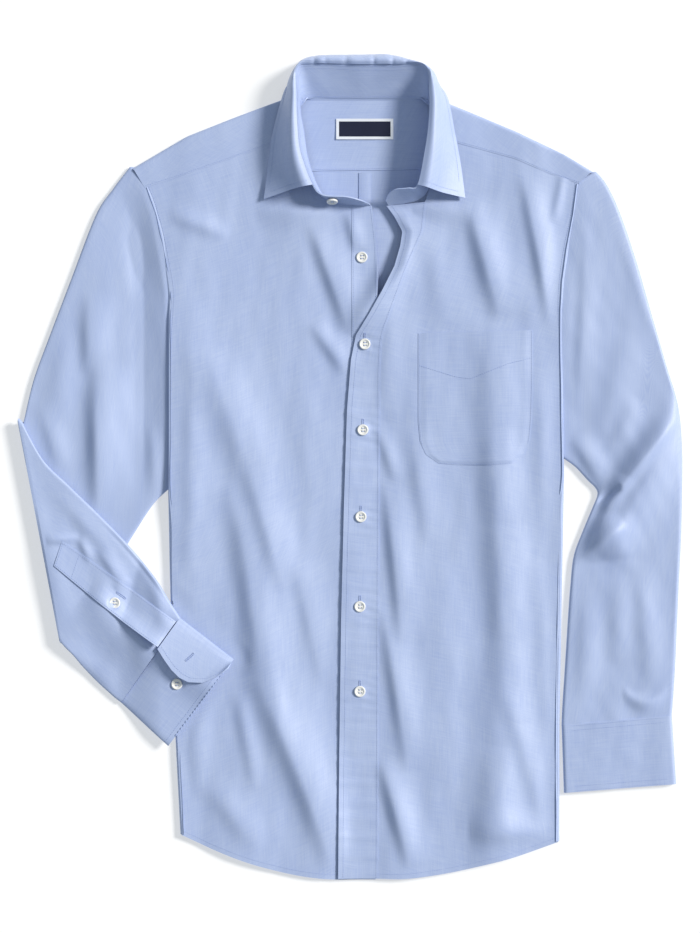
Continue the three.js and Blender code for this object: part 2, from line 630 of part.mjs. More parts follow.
// Collar stand and fall
const STAND_STEPS = 40;
const standGrid = [];
for (let i = 0; i <= STAND_STEPS; i += 1) {
  const row = rowAt(STAND, (i / STAND_STEPS) * (STAND.length - 1));
  const seam = point(row.seamX, row.seamY, row.seamZ);
  standGrid.push([0, 0.5, 1].map((t) => seam.clone().lerp(point(row.topX, row.topY, row.topZ), t)));
}
const collarStand = add('collar_stand', sheet(standGrid, CLOTH, 0.5), cloth);

const FALL_STEPS = 34;
const FALL_ACROSS = 7;
const FALL_SEAT = 1.8;
const ROLL_RISE = 2;
const ON_TABLE = 0.7;
const CREST_SHARE = 0.35;
const fallGrid = [];
for (let i = 0; i <= FALL_STEPS; i += 1) {
  const row = rowAt(FALL, (i / FALL_STEPS) * (FALL.length - 1));
  const stand = rowAt(STAND, row.along);
  const root = point(stand.topX, stand.topY, stand.topZ + FALL_SEAT);
  const out = point(row.outX, row.outY, row.outZ);
  const edge = point(row.edgeX, row.edgeY, row.edgeZ);
  const crest = root.clone().lerp(out, CREST_SHARE);
  crest.z = root.z + ROLL_RISE;
  const tuck = clamp(row.tuck, 0, 1);
  const foot = out.clone().lerp(edge, lerp(0.5, 0.08, tuck));
  foot.z = lerp(edge.z, out.z, lerp(0.45, 0.1, tuck));
  const across = new THREE.CatmullRomCurve3([root, crest, out, foot, edge], false, 'centripetal');
  fallGrid.push(Array.from({ length: FALL_ACROSS + 1 }, (_, k) => {
    const p = across.getPoint(k / FALL_ACROSS);
    p.z = Math.max(p.z, ON_TABLE);
    return p;
  }));
}
add('collar_fall', sheet(fallGrid, CLOTH, 0.5), cloth);

// Sleeves: rings round a flattened tube. Past the fold the right one lies upside down on itself.
const FOLD_ROW = RIGHT_SLEEVE.find((row) => row.turn > 0);
const FOLD_ALONG = new THREE.Vector2(FOLD_ROW.bX - FOLD_ROW.aX, FOLD_ROW.bY - FOLD_ROW.aY).normalize();
const FOLD_OUT = new THREE.Vector2(FOLD_ALONG.y, -FOLD_ALONG.x);
const FOREARM_LIFT = FOLD_AXIS_HEIGHT - FOLD_ROW.highA;
const RING_BOTTOM = [0.75, 0.5, 0.25];
const RING_TOP = [0.08, 0.25, 0.42, 0.58, 0.75, 0.92];
const CORNER_STEPS = 4;
const BODY_CLEAR = 0.9;

// What the folded forearm lies on: the sleeve below it, then the table, then the front's side.
function carrier(x, y) {
  const overArm = 1 - smoothstep(aheadOf(x, y), 2, 46);
  const overBody = smoothstep(x, -236, -190);
  return Math.max(FOLD_AXIS_HEIGHT * overArm, (BODY_TOP + BODY_CLEAR) * overBody);
}

// How far a place is past the underarm edge of the upper arm, where the forearm crosses it.
const UNDERARM_EDGE = { from: new THREE.Vector2(-208, -47), to: new THREE.Vector2(-292, -177) };
function aheadOf(x, y) {
  const run = UNDERARM_EDGE.to.clone().sub(UNDERARM_EDGE.from).normalize();
  return (x - UNDERARM_EDGE.from.x) * -run.y + (y - UNDERARM_EDGE.from.y) * run.x;
}

// A flattened ring between two edges: across it, height, and how freely folds may lift each point.
function flatRing(width, highA, highB, inset) {
  const [radiusA, radiusB] = [highA / 2, highB / 2];
  const corner = (centre, radius, from) => Array.from({ length: CORNER_STEPS + 1 }, (_, k) => {
    const angle = from - (Math.PI * k) / CORNER_STEPS;
    return [centre + (radius - inset) * Math.cos(angle), radius + (radius - inset) * Math.sin(angle), 0];
  });
  const across = (share) => lerp(radiusA, width - radiusB, share);
  const top = (share) => lerp(highA, highB, share) - inset;
  return [
    ...RING_BOTTOM.map((share) => [across(share), inset, 0]),
    ...corner(radiusA, radiusA, -Math.PI / 2),
    ...RING_TOP.map((share) => [across(share), top(share), Math.sqrt(Math.sin(Math.PI * share))]),
    ...corner(width - radiusB, radiusB, Math.PI / 2),
  ];
}

// The ring in place: bent to the armhole, lifted by its folds, and turned about the fold of the sleeve.
function sleeveRing(row, armhole, folds, inset) {
  const a = point(row.aX, row.aY, 0);
  const b = point(row.bX, row.bY, 0);
  const width = a.distanceTo(b);
  return flatRing(width, row.highA, row.highB, inset).map(([q, z, loose]) => {
    const share = q / width;
    const p = a.clone().lerp(b, share);
    if (armhole) p.addScaledVector(armhole.bend(clamp(share, 0, 1)), row.bow);
    const high = row.turn > 0 ? z : z + loose * foldsAt(folds, p.x, p.y);
    const reach = FOLD_AXIS_HEIGHT - high;
    const angle = Math.PI * row.turn;
    p.x += FOLD_OUT.x * reach * Math.sin(angle);
    p.y += FOLD_OUT.y * reach * Math.sin(angle);
    p.z = FOLD_AXIS_HEIGHT - reach * Math.cos(angle);
    if (row.turn >= 1) p.z += carrier(p.x, p.y) - FOLD_AXIS_HEIGHT;
    return p;
  });
}

// How far the armhole curve lies from the straight line between its ends, at each share of that line.
function armholeOf(rows) {
  const path = curve(rows);
  const first = rows[0];
  const end = rows[rows.length - 1];
  const last = point(end.x, end.y, 0);
  const run = last.clone().sub(point(first.x, first.y, 0));
  const SAMPLES = 120;
  const shares = Array.from({ length: SAMPLES + 1 }, (_, k) => {
    const p = path.getPoint(k / SAMPLES).sub(point(first.x, first.y, 0));
    return { place: k / SAMPLES, share: p.dot(run) / run.lengthSq() };
  });
  const bend = (share) => {
    const straight = point(first.x, first.y, 0).lerp(last, share);
    return path.getPoint(rowBy(shares, 'share', share).place).sub(straight);
  };
  return { bend };
}

const SLEEVE_RINGS = 22;
function sleeve(rows, armholeRows, folds, places) {
  const armhole = armholeOf(armholeRows);
  const stations = places.map((place) => rowAt(rows, place));
  for (const row of stations) row.turn = clamp(row.turn, 0, 1);
  const outer = stations.map((row) => sleeveRing(row, armhole, folds, 0));
  const inner = stations.map((row) => sleeveRing(row, armhole, folds, CLOTH));
  return tube(outer, inner);
}
const leftPlaces = Array.from({ length: SLEEVE_RINGS + 1 }, (_, k) => (
  ((LEFT_SLEEVE.length - 1) * k) / SLEEVE_RINGS
));
const rightPlaces = [
  0, 0.5, 1, 1.5, 2, 2.5, 3, 3.5, 4, 4.5, 5, 6, 7, 8, 9, 10, 11, 12, 12.5, 13, 13.5, 14, 14.5, 15, 16, 17,
];
const leftTube = sleeve(LEFT_SLEEVE, LEFT_ARMHOLE, LEFT_SLEEVE_FOLDS, leftPlaces);
const rightTube = sleeve(RIGHT_SLEEVE, RIGHT_ARMHOLE, RIGHT_SLEEVE_FOLDS, rightPlaces);
add('sleeve_left', leftTube, cloth);
const sleeveRight = add('sleeve_right', rightTube, cloth);

// Left cuff: a short flat tube below the sleeve
const cuffRow = (cuff, t, high) => ({
  aX: lerp(cuff.seamA[0], cuff.endA[0], t),
  aY: lerp(cuff.seamA[1], cuff.endA[1], t),
  bX: lerp(cuff.seamB[0], cuff.endB[0], t),
  bY: lerp(cuff.seamB[1], cuff.endB[1], t),
  bow: 0,
  turn: 0,
  highA: high,
  highB: high,
});
const CUFF_SHARES = [0, 0.33, 0.67, 1];
const CUFF_TUBE = 6;
const leftCuffRow = (t) => cuffRow(LEFT_CUFF, t, CUFF_TUBE);
const cuffRings = (inset) => CUFF_SHARES.map((t) => sleeveRing(leftCuffRow(t), null, [], inset));
add('cuff_left', tube(cuffRings(0), cuffRings(CLOTH)), cloth);

// Right cuff: one strip wrapped round the wrist, its rounded end lapping over the other
const CUFF_STEPS = 12;
const CUFF_FREE = 0.1;
const LEAST_FLAP = 3;
const cuffGrid = [];
for (let i = CUFF_STEPS; i >= 0; i -= 1) {
  const along = i / CUFF_STEPS;
  const row = cuffRow(RIGHT_CUFF, along, CUFF_LAYER);
  const a = point(row.aX, row.aY, 0);
  const b = point(row.bX, row.bY, 0);
  const width = a.distanceTo(b);
  const reach = rowBy(FLAP, 'along', along).across * width;
  const [small, large] = [CUFF_LAYER / 2, CUFF_FLAP / 2];
  const path = [];
  for (const share of [CUFF_FREE, 0.3, 0.5, 0.7, 0.9]) path.push([share * width, CUFF_LAYER]);
  for (let k = 0; k <= CORNER_STEPS; k += 1) {
    const angle = (Math.PI * k) / CORNER_STEPS;
    path.push([width - small + small * Math.sin(angle), small + small * Math.cos(angle)]);
  }
  for (const share of [0.7, 0.5, 0.3]) path.push([share * width, 0]);
  for (let k = 0; k <= CORNER_STEPS; k += 1) {
    const angle = (Math.PI * k) / CORNER_STEPS;
    path.push([large - large * Math.sin(angle), large - large * Math.cos(angle)]);
  }
  const tip = Math.max(reach, large + LEAST_FLAP);
  for (const share of [0.25, 0.5, 0.75, 1]) path.push([lerp(large, tip, share), CUFF_FLAP]);
  cuffGrid.push(path.map(([q, z]) => {
    const p = a.clone().lerp(b, q / width);
    p.z = z + carrier(p.x, p.y) + FOREARM_LIFT;
    return p;
  }));
}
const cuffRight = add('cuff_right', sheet(cuffGrid, CLOTH), cloth);

// Gauntlet strip on the folded forearm
const GAUNTLET_STEPS = 9;
const [lowStart, lowEnd] = GAUNTLET.low.map(([x, y]) => point(x, y, 0));
const [highStart, highEnd] = GAUNTLET.high.map(([x, y]) => point(x, y, 0));
const gauntletGrid = [];
for (let i = 0; i <= GAUNTLET_STEPS; i += 1) {
  const low = lowStart.clone().lerp(lowEnd, i / GAUNTLET_STEPS);
  const high = highStart.clone().lerp(highEnd, i / GAUNTLET_STEPS);
  gauntletGrid.push([0, 0.5, 1].map((t) => {
    const p = low.clone().lerp(high, t);
    p.z = topOf(sleeveRight, p.x, p.y) + REST_GAP + TRIM;
    return p;
  }));
}
const gauntlet = add('gauntlet', sheet(gauntletGrid, TRIM), cloth);

// Label, sewn flat inside the back of the yoke
const labelPlate = new THREE.BoxGeometry(LABEL_SIZE.wide, LABEL_SIZE.deep, LABEL_SIZE.thick);
const labelHeight = CLOTH + SEAM_GAP + LABEL_SIZE.thick / 2;
add('neck_label', labelPlate, navy).position.set(LABEL_PLACE.x, LABEL_PLACE.y, labelHeight);

// Buttons: a disc with four holes
function buttonGeometry() {
  const disc = new THREE.Shape(round(0, 0, BUTTON_DIAMETER / 2, 16));
  const off = BUTTON_HOLE_PITCH / 2;
  for (const [i, j] of [[1, 1], [1, -1], [-1, 1], [-1, -1]]) {
    disc.holes.push(new THREE.Path(round(i * off, j * off, BUTTON_HOLE / 2, 5)));
  }
  const geometry = new THREE.ExtrudeGeometry(disc, { depth: BUTTON_THICKNESS, bevelEnabled: false });
  geometry.translate(0, 0, -BUTTON_THICKNESS / 2);
  return geometry;
}

// A button is dropped on its carrier against the way that it faces, until its rim meets the cloth.
const SEAT_SIDES = 12;
function button(name, { x, y, z = DROP_FROM, lean = 0 }, carrierMesh) {
  const mesh = add(name, buttonGeometry(), pearl);
  mesh.position.set(x, y, z);
  mesh.rotation.x = lean;
  mesh.updateMatrixWorld();
  const way = DOWN.clone().applyEuler(mesh.rotation);
  const rim = [new THREE.Vector2(), ...round(0, 0, BUTTON_DIAMETER / 2, SEAT_SIDES)];
  const drops = rim.map((p) => farTo(carrierMesh, mesh.localToWorld(point(p.x, p.y, 0)), way));
  mesh.position.addScaledVector(way, Math.min(...drops) - SEAM_GAP - BUTTON_THICKNESS / 2);
}
button('button_front_1', TOP_BUTTON, buttonBand);
FRONT_BUTTONS.forEach((place, k) => button(`button_front_${k + 2}`, place, frontPlacket));
button('button_cuff', CUFF_BUTTON, cuffRight);
button('button_gauntlet', GAUNTLET_BUTTON, gauntlet);
button('button_stand', STAND_BUTTON, collarStand);

// The origin is on the table under the middle of the whole shirt.
const extent = new THREE.Box3().setFromObject(shirt);
const centre = extent.getCenter(new THREE.Vector3());
shirt.position.set(-centre.x, -centre.y, -extent.min.z);

export default shirt;
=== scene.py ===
"""Looks of a long sleeve dress shirt, laid flat on its back with one sleeve folded over."""

import math

import bpy
import numpy as np
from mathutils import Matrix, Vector
from mathutils.bvhtree import BVHTree


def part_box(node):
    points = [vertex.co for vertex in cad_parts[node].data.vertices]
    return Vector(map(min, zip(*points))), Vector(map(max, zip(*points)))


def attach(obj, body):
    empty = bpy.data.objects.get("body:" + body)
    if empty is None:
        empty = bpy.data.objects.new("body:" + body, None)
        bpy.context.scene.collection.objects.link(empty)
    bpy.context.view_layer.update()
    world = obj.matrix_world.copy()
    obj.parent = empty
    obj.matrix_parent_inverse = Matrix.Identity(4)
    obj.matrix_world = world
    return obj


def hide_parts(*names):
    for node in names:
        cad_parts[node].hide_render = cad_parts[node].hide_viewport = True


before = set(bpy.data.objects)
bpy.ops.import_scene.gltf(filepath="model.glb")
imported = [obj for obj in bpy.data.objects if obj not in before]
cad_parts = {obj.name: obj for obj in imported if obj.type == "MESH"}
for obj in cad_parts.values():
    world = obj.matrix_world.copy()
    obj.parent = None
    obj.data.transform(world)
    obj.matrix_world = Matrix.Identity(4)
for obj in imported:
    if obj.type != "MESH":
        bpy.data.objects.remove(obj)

bl_info = {
    "name": "Long Sleeve Dress Shirt",
    "version": (1, 0, 0),
    "blender": (4, 5, 0),
    "location": "3D View > Sidebar > Shirt",
    "description": "Builds a dress shirt laid flat: panels, collar, sleeves, cuffs, buttons and stitching",
    "category": "Add Mesh",
}

# Sizes are millimetres in the shirt's own axes: +X to the wearer's left, +Y to the collar, +Z up.
# The tables keep to the shirt's solids. Rolled edges, raised sides and folds are finer here.
CLOTH = 1.2
APPLIED_WALL = 0.6
SEAM_GAP = 0.3
BODY_TOP = 6.4
LABEL_PLACE = np.array([15.0, 344.5])
LABEL_SIZE = np.array([58.0, 21.0])
FOLD_AXIS_HEIGHT = 6.0
CUFF_LAYER = 4.0
CUFF_FLAP = 5.8
CUFF_ROLL = 7.0
BELLY = {"high": 6.5, "at": 0.32, "wide": 0.18}
FLAP_LIFT = 9.0
SIDE_BLEND = {-1: 96.0, 1: 60.0}
BODY_CLEAR = 0.9
SEAM_LAP = 0.9
SEAM_STEP = 0.35


def table(header, rows):
    """The columns of a table, by name."""
    return {name: np.array(column, float) for name, column in zip(header.split(), zip(*rows))}


# Side edge of each front: how far out it lies, the height of its top face, its share of a half turn,
# the radius of that roll and the flat turned under beyond it
RIGHT_SIDE = table("y x top turn radius flange", [
    (285, -209, 6.4, 0.4, 3.0, 1), (256, -199, 7.6, 0.4, 3.0, 1), (206, -189, 9.4, 0.4, 3.0, 0.4),
    (175, -184, 10.6, 0.5, 2.4, 0.4), (150, -184, 11.6, 0.7, 2.0, 0.4), (125, -184, 11.8, 0.9, 2.0, 1),
    (40, -184, 11.6, 0.9, 2.0, 1), (-25, -184, 10.4, 0.9, 2.0, 1), (-60, -183.5, 8.2, 1, 3.8, 2),
    (-95, -183, 6.6, 1, 3.3, 22), (-180, -181, 6.4, 1, 3.2, 24), (-276, -177, 6.4, 1, 3.2, 24),
    (-371, -172, 6.4, 1, 3.2, 22),
])
LEFT_SIDE = table("y x top turn radius flange", [
    (289, 233, 6.4, 0.4, 3.0, 1), (258, 229, 6.4, 0.4, 3.0, 1), (221, 222, 7.2, 0.4, 3.0, 0.4),
    (189, 217, 8.0, 0.5, 2.4, 0.4), (160, 215, 8.2, 0.7, 2.0, 0.4), (130, 215, 8.2, 0.9, 2.0, 1),
    (60, 216, 8.2, 0.9, 2.0, 1), (-6, 217, 8.2, 0.9, 2.0, 1), (-40, 216.5, 7.6, 1, 3.8, 2),
    (-72, 216, 6.6, 1, 3.3, 22), (-150, 214.5, 6.4, 1, 3.2, 24), (-260, 212.5, 6.4, 1, 3.2, 24),
    (-378, 212.5, 6.4, 1, 3.2, 22),
])

# Seams and edges in plan
RIGHT_YOKE_SEAM = [(-49, 341), (-80, 330), (-124, 314), (-170, 298), (-209, 285)]
LEFT_YOKE_SEAM = [(87, 339), (108, 331), (140, 322), (167, 315), (204, 299.5), (233, 289)]
RIGHT_NECK = [(-49, 341), (-47, 328), (-43, 311), (-34, 287), (-22, 274), (-8, 268.5), (3, 267)]
LEFT_NECK = [(87, 339), (88, 323), (86, 300), (80, 282), (76, 270)]
RIGHT_HEM = [(2, -418), (-13, -418), (-50, -414), (-95, -403), (-133, -389), (-172, -371)]
LEFT_HEM = [(27.3, -416), (57, -416), (101, -410), (136, -402), (170, -393), (213, -378)]
BAND = table("y seam edge", [
    (267, 3, 22), (235, 3, 26), (195, 3, 28), (130, 3, 27), (-150, 2, 26), (-417, 2, 26),
])
PLACKET = table("y edge seam", [
    (266, 37, 76), (255, 45, 74), (240, 53, 72), (226, 51, 66), (205, 45, 57), (181, 33, 48),
    (156, 19, 39), (135, 6, 32), (110, 1, 29.5), (60, -3, 29), (-32, -6, 28.5), (-154, -9, 28),
    (-300, -11, 27.5), (-416, -12, 27),
])
POCKET = table("left right y", [
    (69, 185, 137), (69, 185, 108), (69, 185, 78), (69, 184, 48), (71, 182, 27), (77, 176, 14),
    (90, 164, 5),
])

# The back's edges at each height, and its centre pleat
BACK = table("y left right", [
    (286, -200, 224), (256, -194, 224), (206, -184, 214), (175, -179, 209), (150, -174, 203),
    (120, -168, 197), (60, -168, 197), (-20, -168, 197), (-80, -152, 184), (-180, -150, 184),
    (-276, -147, 183), (-368, -143, 184),
])
BACK_HEM_DIP = 42
PLEAT = {"x": 15, "high": 0.9, "wide": 6, "start": 300, "end": 150}

# Yoke: the seam with the back, the shoulder line it rolls over, and its front or neck edge
YOKE = table("backX backY ridgeX ridgeY endX endY turn", [
    (-201, 287, -221, 304, -209, 286, 1), (-160, 291, -165, 337, -170, 298.4, 1),
    (-115, 295, -117, 356, -124, 314.4, 1), (-80, 298, -70, 373.5, -80, 330.7, 1),
    (-58, 300, -58, 376, -49, 341.8, 1), (-47, 301, -54, 377, -50, 357, 1),
    (-37, 301.5, -52, 377.5, -51, 368, 1), (-28, 302, -40, 376, -40, 376, 0.15),
    (14, 302.5, 14, 376, 14, 376, 0.15), (56, 303, 68, 376, 68, 376, 0.15),
    (65, 303.5, 80, 377.5, 82, 368, 1), (76, 303, 84, 376, 86, 356, 1),
    (92, 302.5, 92, 373.5, 87.5, 339.4, 1), (120, 301, 120, 362, 108, 331.8, 1),
    (165, 297, 170, 341, 167, 315.8, 1), (204, 293, 218, 318, 204, 300, 1),
    (225, 289, 246, 301, 233.5, 290, 1),
])

# Collar stand: its neck seam and its top edge, from the right front end round to the left one
STAND = table("seamX seamY seamZ topX topY topZ", [
    (21, 266, 7.4, 19, 268, 12), (10, 266.5, 7.4, 10, 270.5, 21), (-5, 268, 7.4, -4, 273.5, 25),
    (-22, 272.5, 7.4, -27, 275, 28), (-32, 284, 7.4, -37.5, 285, 29), (-42, 311, 7.4, -49.5, 317, 30),
    (-47, 341, 7.4, -53, 345, 30), (-50.5, 370, 7.4, -54, 374, 28), (-39, 377, 3.4, -53, 403, 24),
    (-16, 377, 3.1, -37.5, 408, 22), (14, 377, 3.1, 10, 407.5, 21), (45, 377, 3.1, 43, 407.5, 21),
    (67, 377, 3.4, 75, 405, 24), (82, 370, 7.4, 80, 374, 28), (88, 340, 7.4, 79, 345, 30),
    (87, 310, 7.4, 75, 317, 30), (79, 283, 7.4, 68, 285, 29), (70, 273, 7.4, 58, 282, 27),
    (56, 269, 7.4, 46, 281, 24), (45, 267.5, 7.4, 39, 277, 19), (39, 266.5, 7.4, 36, 271, 12),
])

# Collar fall: at each place along the top of the stand, its widest or middle place and its free edge.
# tuck is 1 where the edge turns in under the collar on the table, and 0 where it lies on the front.
FALL = table("along outX outY outZ edgeX edgeY edgeZ tuck", [
    (4, -61, 280.5, 22, -87, 272.5, 11, 0), (5, -67, 306, 22, -83, 304, 9.2, 0),
    (6, -67, 341, 22, -78.5, 337, 8.6, 0), (7, -63, 375.5, 21, -68, 377, 8.6, 0.1),
    (7.5, -62, 391, 14, -60.5, 392, 1, 0.8), (8, -53, 408, 14, -48, 400, 0.9, 1),
    (9, -37, 416.5, 12, -34, 403, 0.9, 1), (10, 10, 418, 11, 10, 402, 0.9, 1),
    (11, 44, 417.5, 11, 42, 402, 0.9, 1), (12, 79, 405, 14, 72, 398, 0.9, 1),
    (12.5, 89, 390, 14, 87, 391, 1, 0.8), (13, 93, 375, 21, 98.5, 375, 8.6, 0.1),
    (14, 94, 343, 22, 106, 339.5, 8.6, 0), (15, 95, 312, 22, 112, 307, 9.2, 0),
    (16, 91.5, 278.5, 22, 116.5, 273.5, 11, 0),
])

# Sleeves: the two edges at each section, how much of the armhole's curve it keeps, its turn about the
# fold, and the height of its top face at each edge. The right one turns right over and comes back.
RIGHT_SLEEVE = table("aX aY bX bY bow turn highA highB", [
    (-223.5, 306, -173, -12, 1, 0, 4.6, 4.6), (-241, 283, -185, -22, 0.85, 0, 5.2, 4.6),
    (-258, 257, -200, -37, 0.65, 0, 5.6, 4.8), (-283, 192, -219, -66, 0.35, 0, 5.6, 5.2),
    (-305, 134, -240, -101, 0.12, 0, 5.6, 5.4), (-321, 90, -264, -138, 0, 0, 5.5, 5.4),
    (-331, 48, -286, -176, 0, 0, 5.4, 5.4), (-331, 48, -286, -176, 0, 0.25, 5.4, 5.4),
    (-331, 48, -286, -176, 0, 0.5, 5.4, 5.4), (-331, 48, -286, -176, 0, 0.75, 5.4, 5.4),
    (-332.5, 48, -291.5, -177.5, 0, 1, 5.4, 5.4), (-311, 9, -280, -190, 0, 1, 5.4, 5.4),
    (-285, -17, -272, -200, 0, 1, 5.4, 5.4), (-254, -47, -263, -210, 0, 1, 5.4, 5.4),
    (-224, -78, -254, -219, 0, 1, 5.4, 5.4), (-197, -111, -244, -228, 0, 1, 5.4, 5.4),
    (-184, -132, -239, -232.5, 0, 1, 5.4, 5.4), (-171.3, -151.6, -232.3, -237.6, 0, 1, 5.4, 5.4),
])
LEFT_SLEEVE = table("aX aY bX bY bow turn highA highB", [
    (250, 301, 203, 22, 1, 0, 4.6, 4.6), (261, 287, 208, 17, 0.9, 0, 5.2, 4.6),
    (274, 259, 217, 10, 0.7, 0, 5.8, 4.6), (290, 212, 229, 1, 0.4, 0, 6.0, 5.0),
    (305, 160, 241, -12, 0.15, 0, 6.2, 5.4), (320, 108, 249, -20, 0, 0, 6.4, 5.4),
    (333, 63, 251, -27, 0, 0, 6.4, 5.4), (337, 20, 246, -40, 0, 0, 6.4, 5.4),
    (337, -25, 236, -64, 0, 0, 6.4, 5.4), (336, -70, 227, -89, 0, 0, 6.4, 5.6),
    (334, -110, 223.5, -120, 0, 0, 6.4, 5.8), (332, -154, 221, -154, 0, 0, 6.4, 6.0),
    (330, -200, 218, -202, 0, 0, 6.4, 6.0), (328, -232, 215.5, -240, 0, 0, 6.2, 6.0),
    (326.5, -251.4, 214.6, -261.4, 0, 0, 6.0, 6.0),
])
RIGHT_ARMHOLE = [
    (-223.5, 306), (-206.5, 285.5), (-200.6, 273), (-195.6, 256), (-190, 236), (-186, 206),
    (-181.5, 175), (-177, 150), (-174, 120), (-173, 60), (-173, -12),
]
LEFT_ARMHOLE = [
    (250, 301), (232, 289), (229, 276), (227, 258), (224.5, 239), (220.5, 221), (215.5, 189),
    (210.5, 158), (206, 125), (203, 95), (203, 22),
]
RIGHT_CUFF = {"seamA": (-172, -151), "seamB": (-233, -237), "endA": (-117.5, -193), "endB": (-184, -281)}
LEFT_CUFF = {"seamA": (326.6, -250.6), "seamB": (214.7, -260.6), "endA": (331, -320), "endB": (217, -329)}
FLAP = table("along across", [
    (0, 0.36), (0.18, 0.4), (0.35, 0.43), (0.51, 0.44), (0.66, 0.42), (0.84, 0.34), (0.95, 0.22),
    (1, 0.09),
])
INNER_YOKE_ROW = [(-36, 303.6), (14, 304.1), (74, 305.4)]
POCKET_HEM = [(69.5, 104.5), (107, 92.8), (122, 90.8), (145, 100), (160, 106), (184, 111.8)]
GAUNTLET = {
    "low": [(-299, -98.5), (-266, -126), (-228, -155.5), (-195.5, -178)],
    "high": [(-291, -73), (-178, -153)],
}

# Folds: a soft ridge (high above 0) or trough (below 0) along each line. bend is how far the middle of
# the line is pushed to its right, and left and right are the widths of the slope on each of its sides.
FOLD_HEADER = "x0 y0 x1 y1 bend left right high"
FRONT_FOLDS = table(FOLD_HEADER, [
    (0, 140, -39, 250, 0, 8, 22, 6), (6, 220, -2, 262, 0, 5, 10, 3), (-2, 96, -39, 149, 0, 7, 12, 3.9),
    (-87, -37, -146, 125, 0, 18, 28, 6.3), (-65, -125, -101, 0, 0, 11, 24, 5.1),
    (-89, -235, -122, -12, 6, 13, 28, 6.9), (-14, -412, -93, -211, 4, 13, 28, 8.4),
    (-95, -328, -113, -225, 0, 8, 10, 3), (-24, -225, -55, -93, 0, 9, 20, 2.7),
    (-122, 236, -185, 258, 0, 8, 10, 2.7), (-166, -154, -156, 171, 0, 14, 26, 2.7),
    (-28, -93, -51, 90, 0, 18, 26, 2.4), (-89, -387, -147, -316, 0, 12, 16, 3),
    (-156, -337, -164, -174, 0, 8, 16, 2.7), (-61, -337, -93, -134, 0, 24, 14, 3),
    (154, 149, 120, 274, 0, 10, 22, 7.5), (206, 143, 175, 301, 0, 7, 18, 5.1),
    (207, 248, 219, 307, 0, 5, 7, 2.7), (224, 236, 233, 297, 0, 4, 6, 2.1),
    (150, -56, 144, 155, 0, 19, 26, 6.3), (161, -259, 146, 39, 0, 16, 28, 7.5),
    (140, -410, 148, -281, 0, 19, 24, 4.8), (54, -178, 37, -10, 0, 7, 18, 5.1),
    (60, -308, 35, -140, 0, 8, 20, 5.7), (62, -406, 33, -294, 0, 8, 16, 6.3),
    (80, -79, 64, 43, 0, 9, 16, 2.7), (48, -16, 28, 44, 0, 6, 10, 2.7),
    (201, -369, 160, -223, 0, 11, 18, 3.3), (201, -93, 193, 140, 0, 14, 18, 2.4),
    (0, 134, 61, 260, 7, 12, 22, 9), (152, -389, 152, -174, 0, 26, 24, 4.8),
    (97, -367, 91, -93, 0, 26, 26, 3), (95, 140, 81, 256, 0, 14, 14, 2.1),
    (35, 49, 43, 171, 0, 10, 14, 2.1), (203, -296, 198, -93, 0, 10, 14, 2.4),
    (120, -369, 205, -365, 0, 18, 11, 4.8), (-95, 258, -2, 261, 0, 8, 14, 3),
    (63, 264, 122, 260, 0, 8, 11, 2.7),
])
RIGHT_SLEEVE_FOLDS = table(FOLD_HEADER, [
    (-207, 171, -225, 283, 0, 10, 14, -3.4), (-265, 94, -264, 181, 0, 8, 16, 5.8),
    (-254, -52, -257, 106, 0, 10, 28, 7.8), (-197, -37, -201, 44, 0, 6, 7, 2.4),
    (-302, 49, -288, 140, 0, 12, 14, 2.7), (-246, 49, -242, 222, 0, 14, 22, 2.4),
    (-292, -2, -315, 69, 0, 8, 12, 3.1),
])
FOREARM_FOLDS = table(FOLD_HEADER, [
    (-177, -203, -266, -125, 0, 30, 12, 8.8), (-168, -156, -280, -20, 3, 2.5, 2.5, -3.7),
    (-307, -74, -274, -69, 0, 5, 4, 3.1), (-262, -95, -274, -69, 0, 4, 6, 2.7),
    (-229, -117, -254, -81, 0, 5, 10, 3.4), (-238, -123, -223, -111, 0, 5, 5, 2),
    (-183, -162, -199, -113, 0, 8, 12, 4.4), (-242, -225, -282, -186, 0, 7, 12, 3.1),
    (-284, -174, -315, -32, 0, 12, 16, 2.7), (-233, -93, -298, -22, 0, 8, 12, 2.7),
])
LEFT_SLEEVE_FOLDS = table(FOLD_HEADER, [
    (313, 132, 270, 264, 0, 8, 15, 4.8), (254, -40, 345, 71, 0, 14, 8, 12.2),
    (258, -93, 347, 61, -3, 15, 24, 10.2), (225, -95, 278, -56, 0, 9, 6, 4.8),
    (266, -93, 260, -46, 0, 20, 18, 7.5), (250, -35, 274, -18, 0, 4, 4, -8.2),
    (254, -2, 294, 69, 0, 10, 14, 2.7), (270, -199, 272, -109, 0, 11, 14, 2.4),
    (307, -225, 294, -93, 0, 10, 14, 2.7), (235, -235, 240, -123, 0, 8, 14, 2.7),
    (233, 49, 242, 252, 0, 8, 14, 3.4), (260, 29, 282, 140, 0, 14, 18, 3.1),
    (259, -22, 226, 33, 0, 7, 12, 7.8), (239, -93, 276, -6, 0, 7, 12, 7.8),
    (276, -227, 323, -223, 12, 6, 9, 4.4),
])

FRONT_BUTTONS = [(12, 214), (15, 126), (13, 39), (11, -49), (10, -140), (10, -226)]
FRONT_BUTTON_NAMES = [f"button_front_{k + 1}" for k in range(len(FRONT_BUTTONS))]
STAND_BUTTON_LEAN = 1.25

label_low, label_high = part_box("neck_label")
label_middle = (label_low + label_high) / 2
SHIFT = np.array([label_middle.x * 1000 - LABEL_PLACE[0], label_middle.y * 1000 - LABEL_PLACE[1], 0])


def box_of(node):
    """The corners of a solid's box, in the shirt's own axes."""
    return [np.array(corner) * 1000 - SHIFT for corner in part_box(node)]


# Sums on tables, lines and folds

RIPPLE_WAVES = 14
RIPPLE_SPREAD = (0.6, 1.7)


def smoothstep(value, low, high):
    t = np.clip((value - low) / (high - low), 0, 1)
    return t * t * (3 - 2 * t)


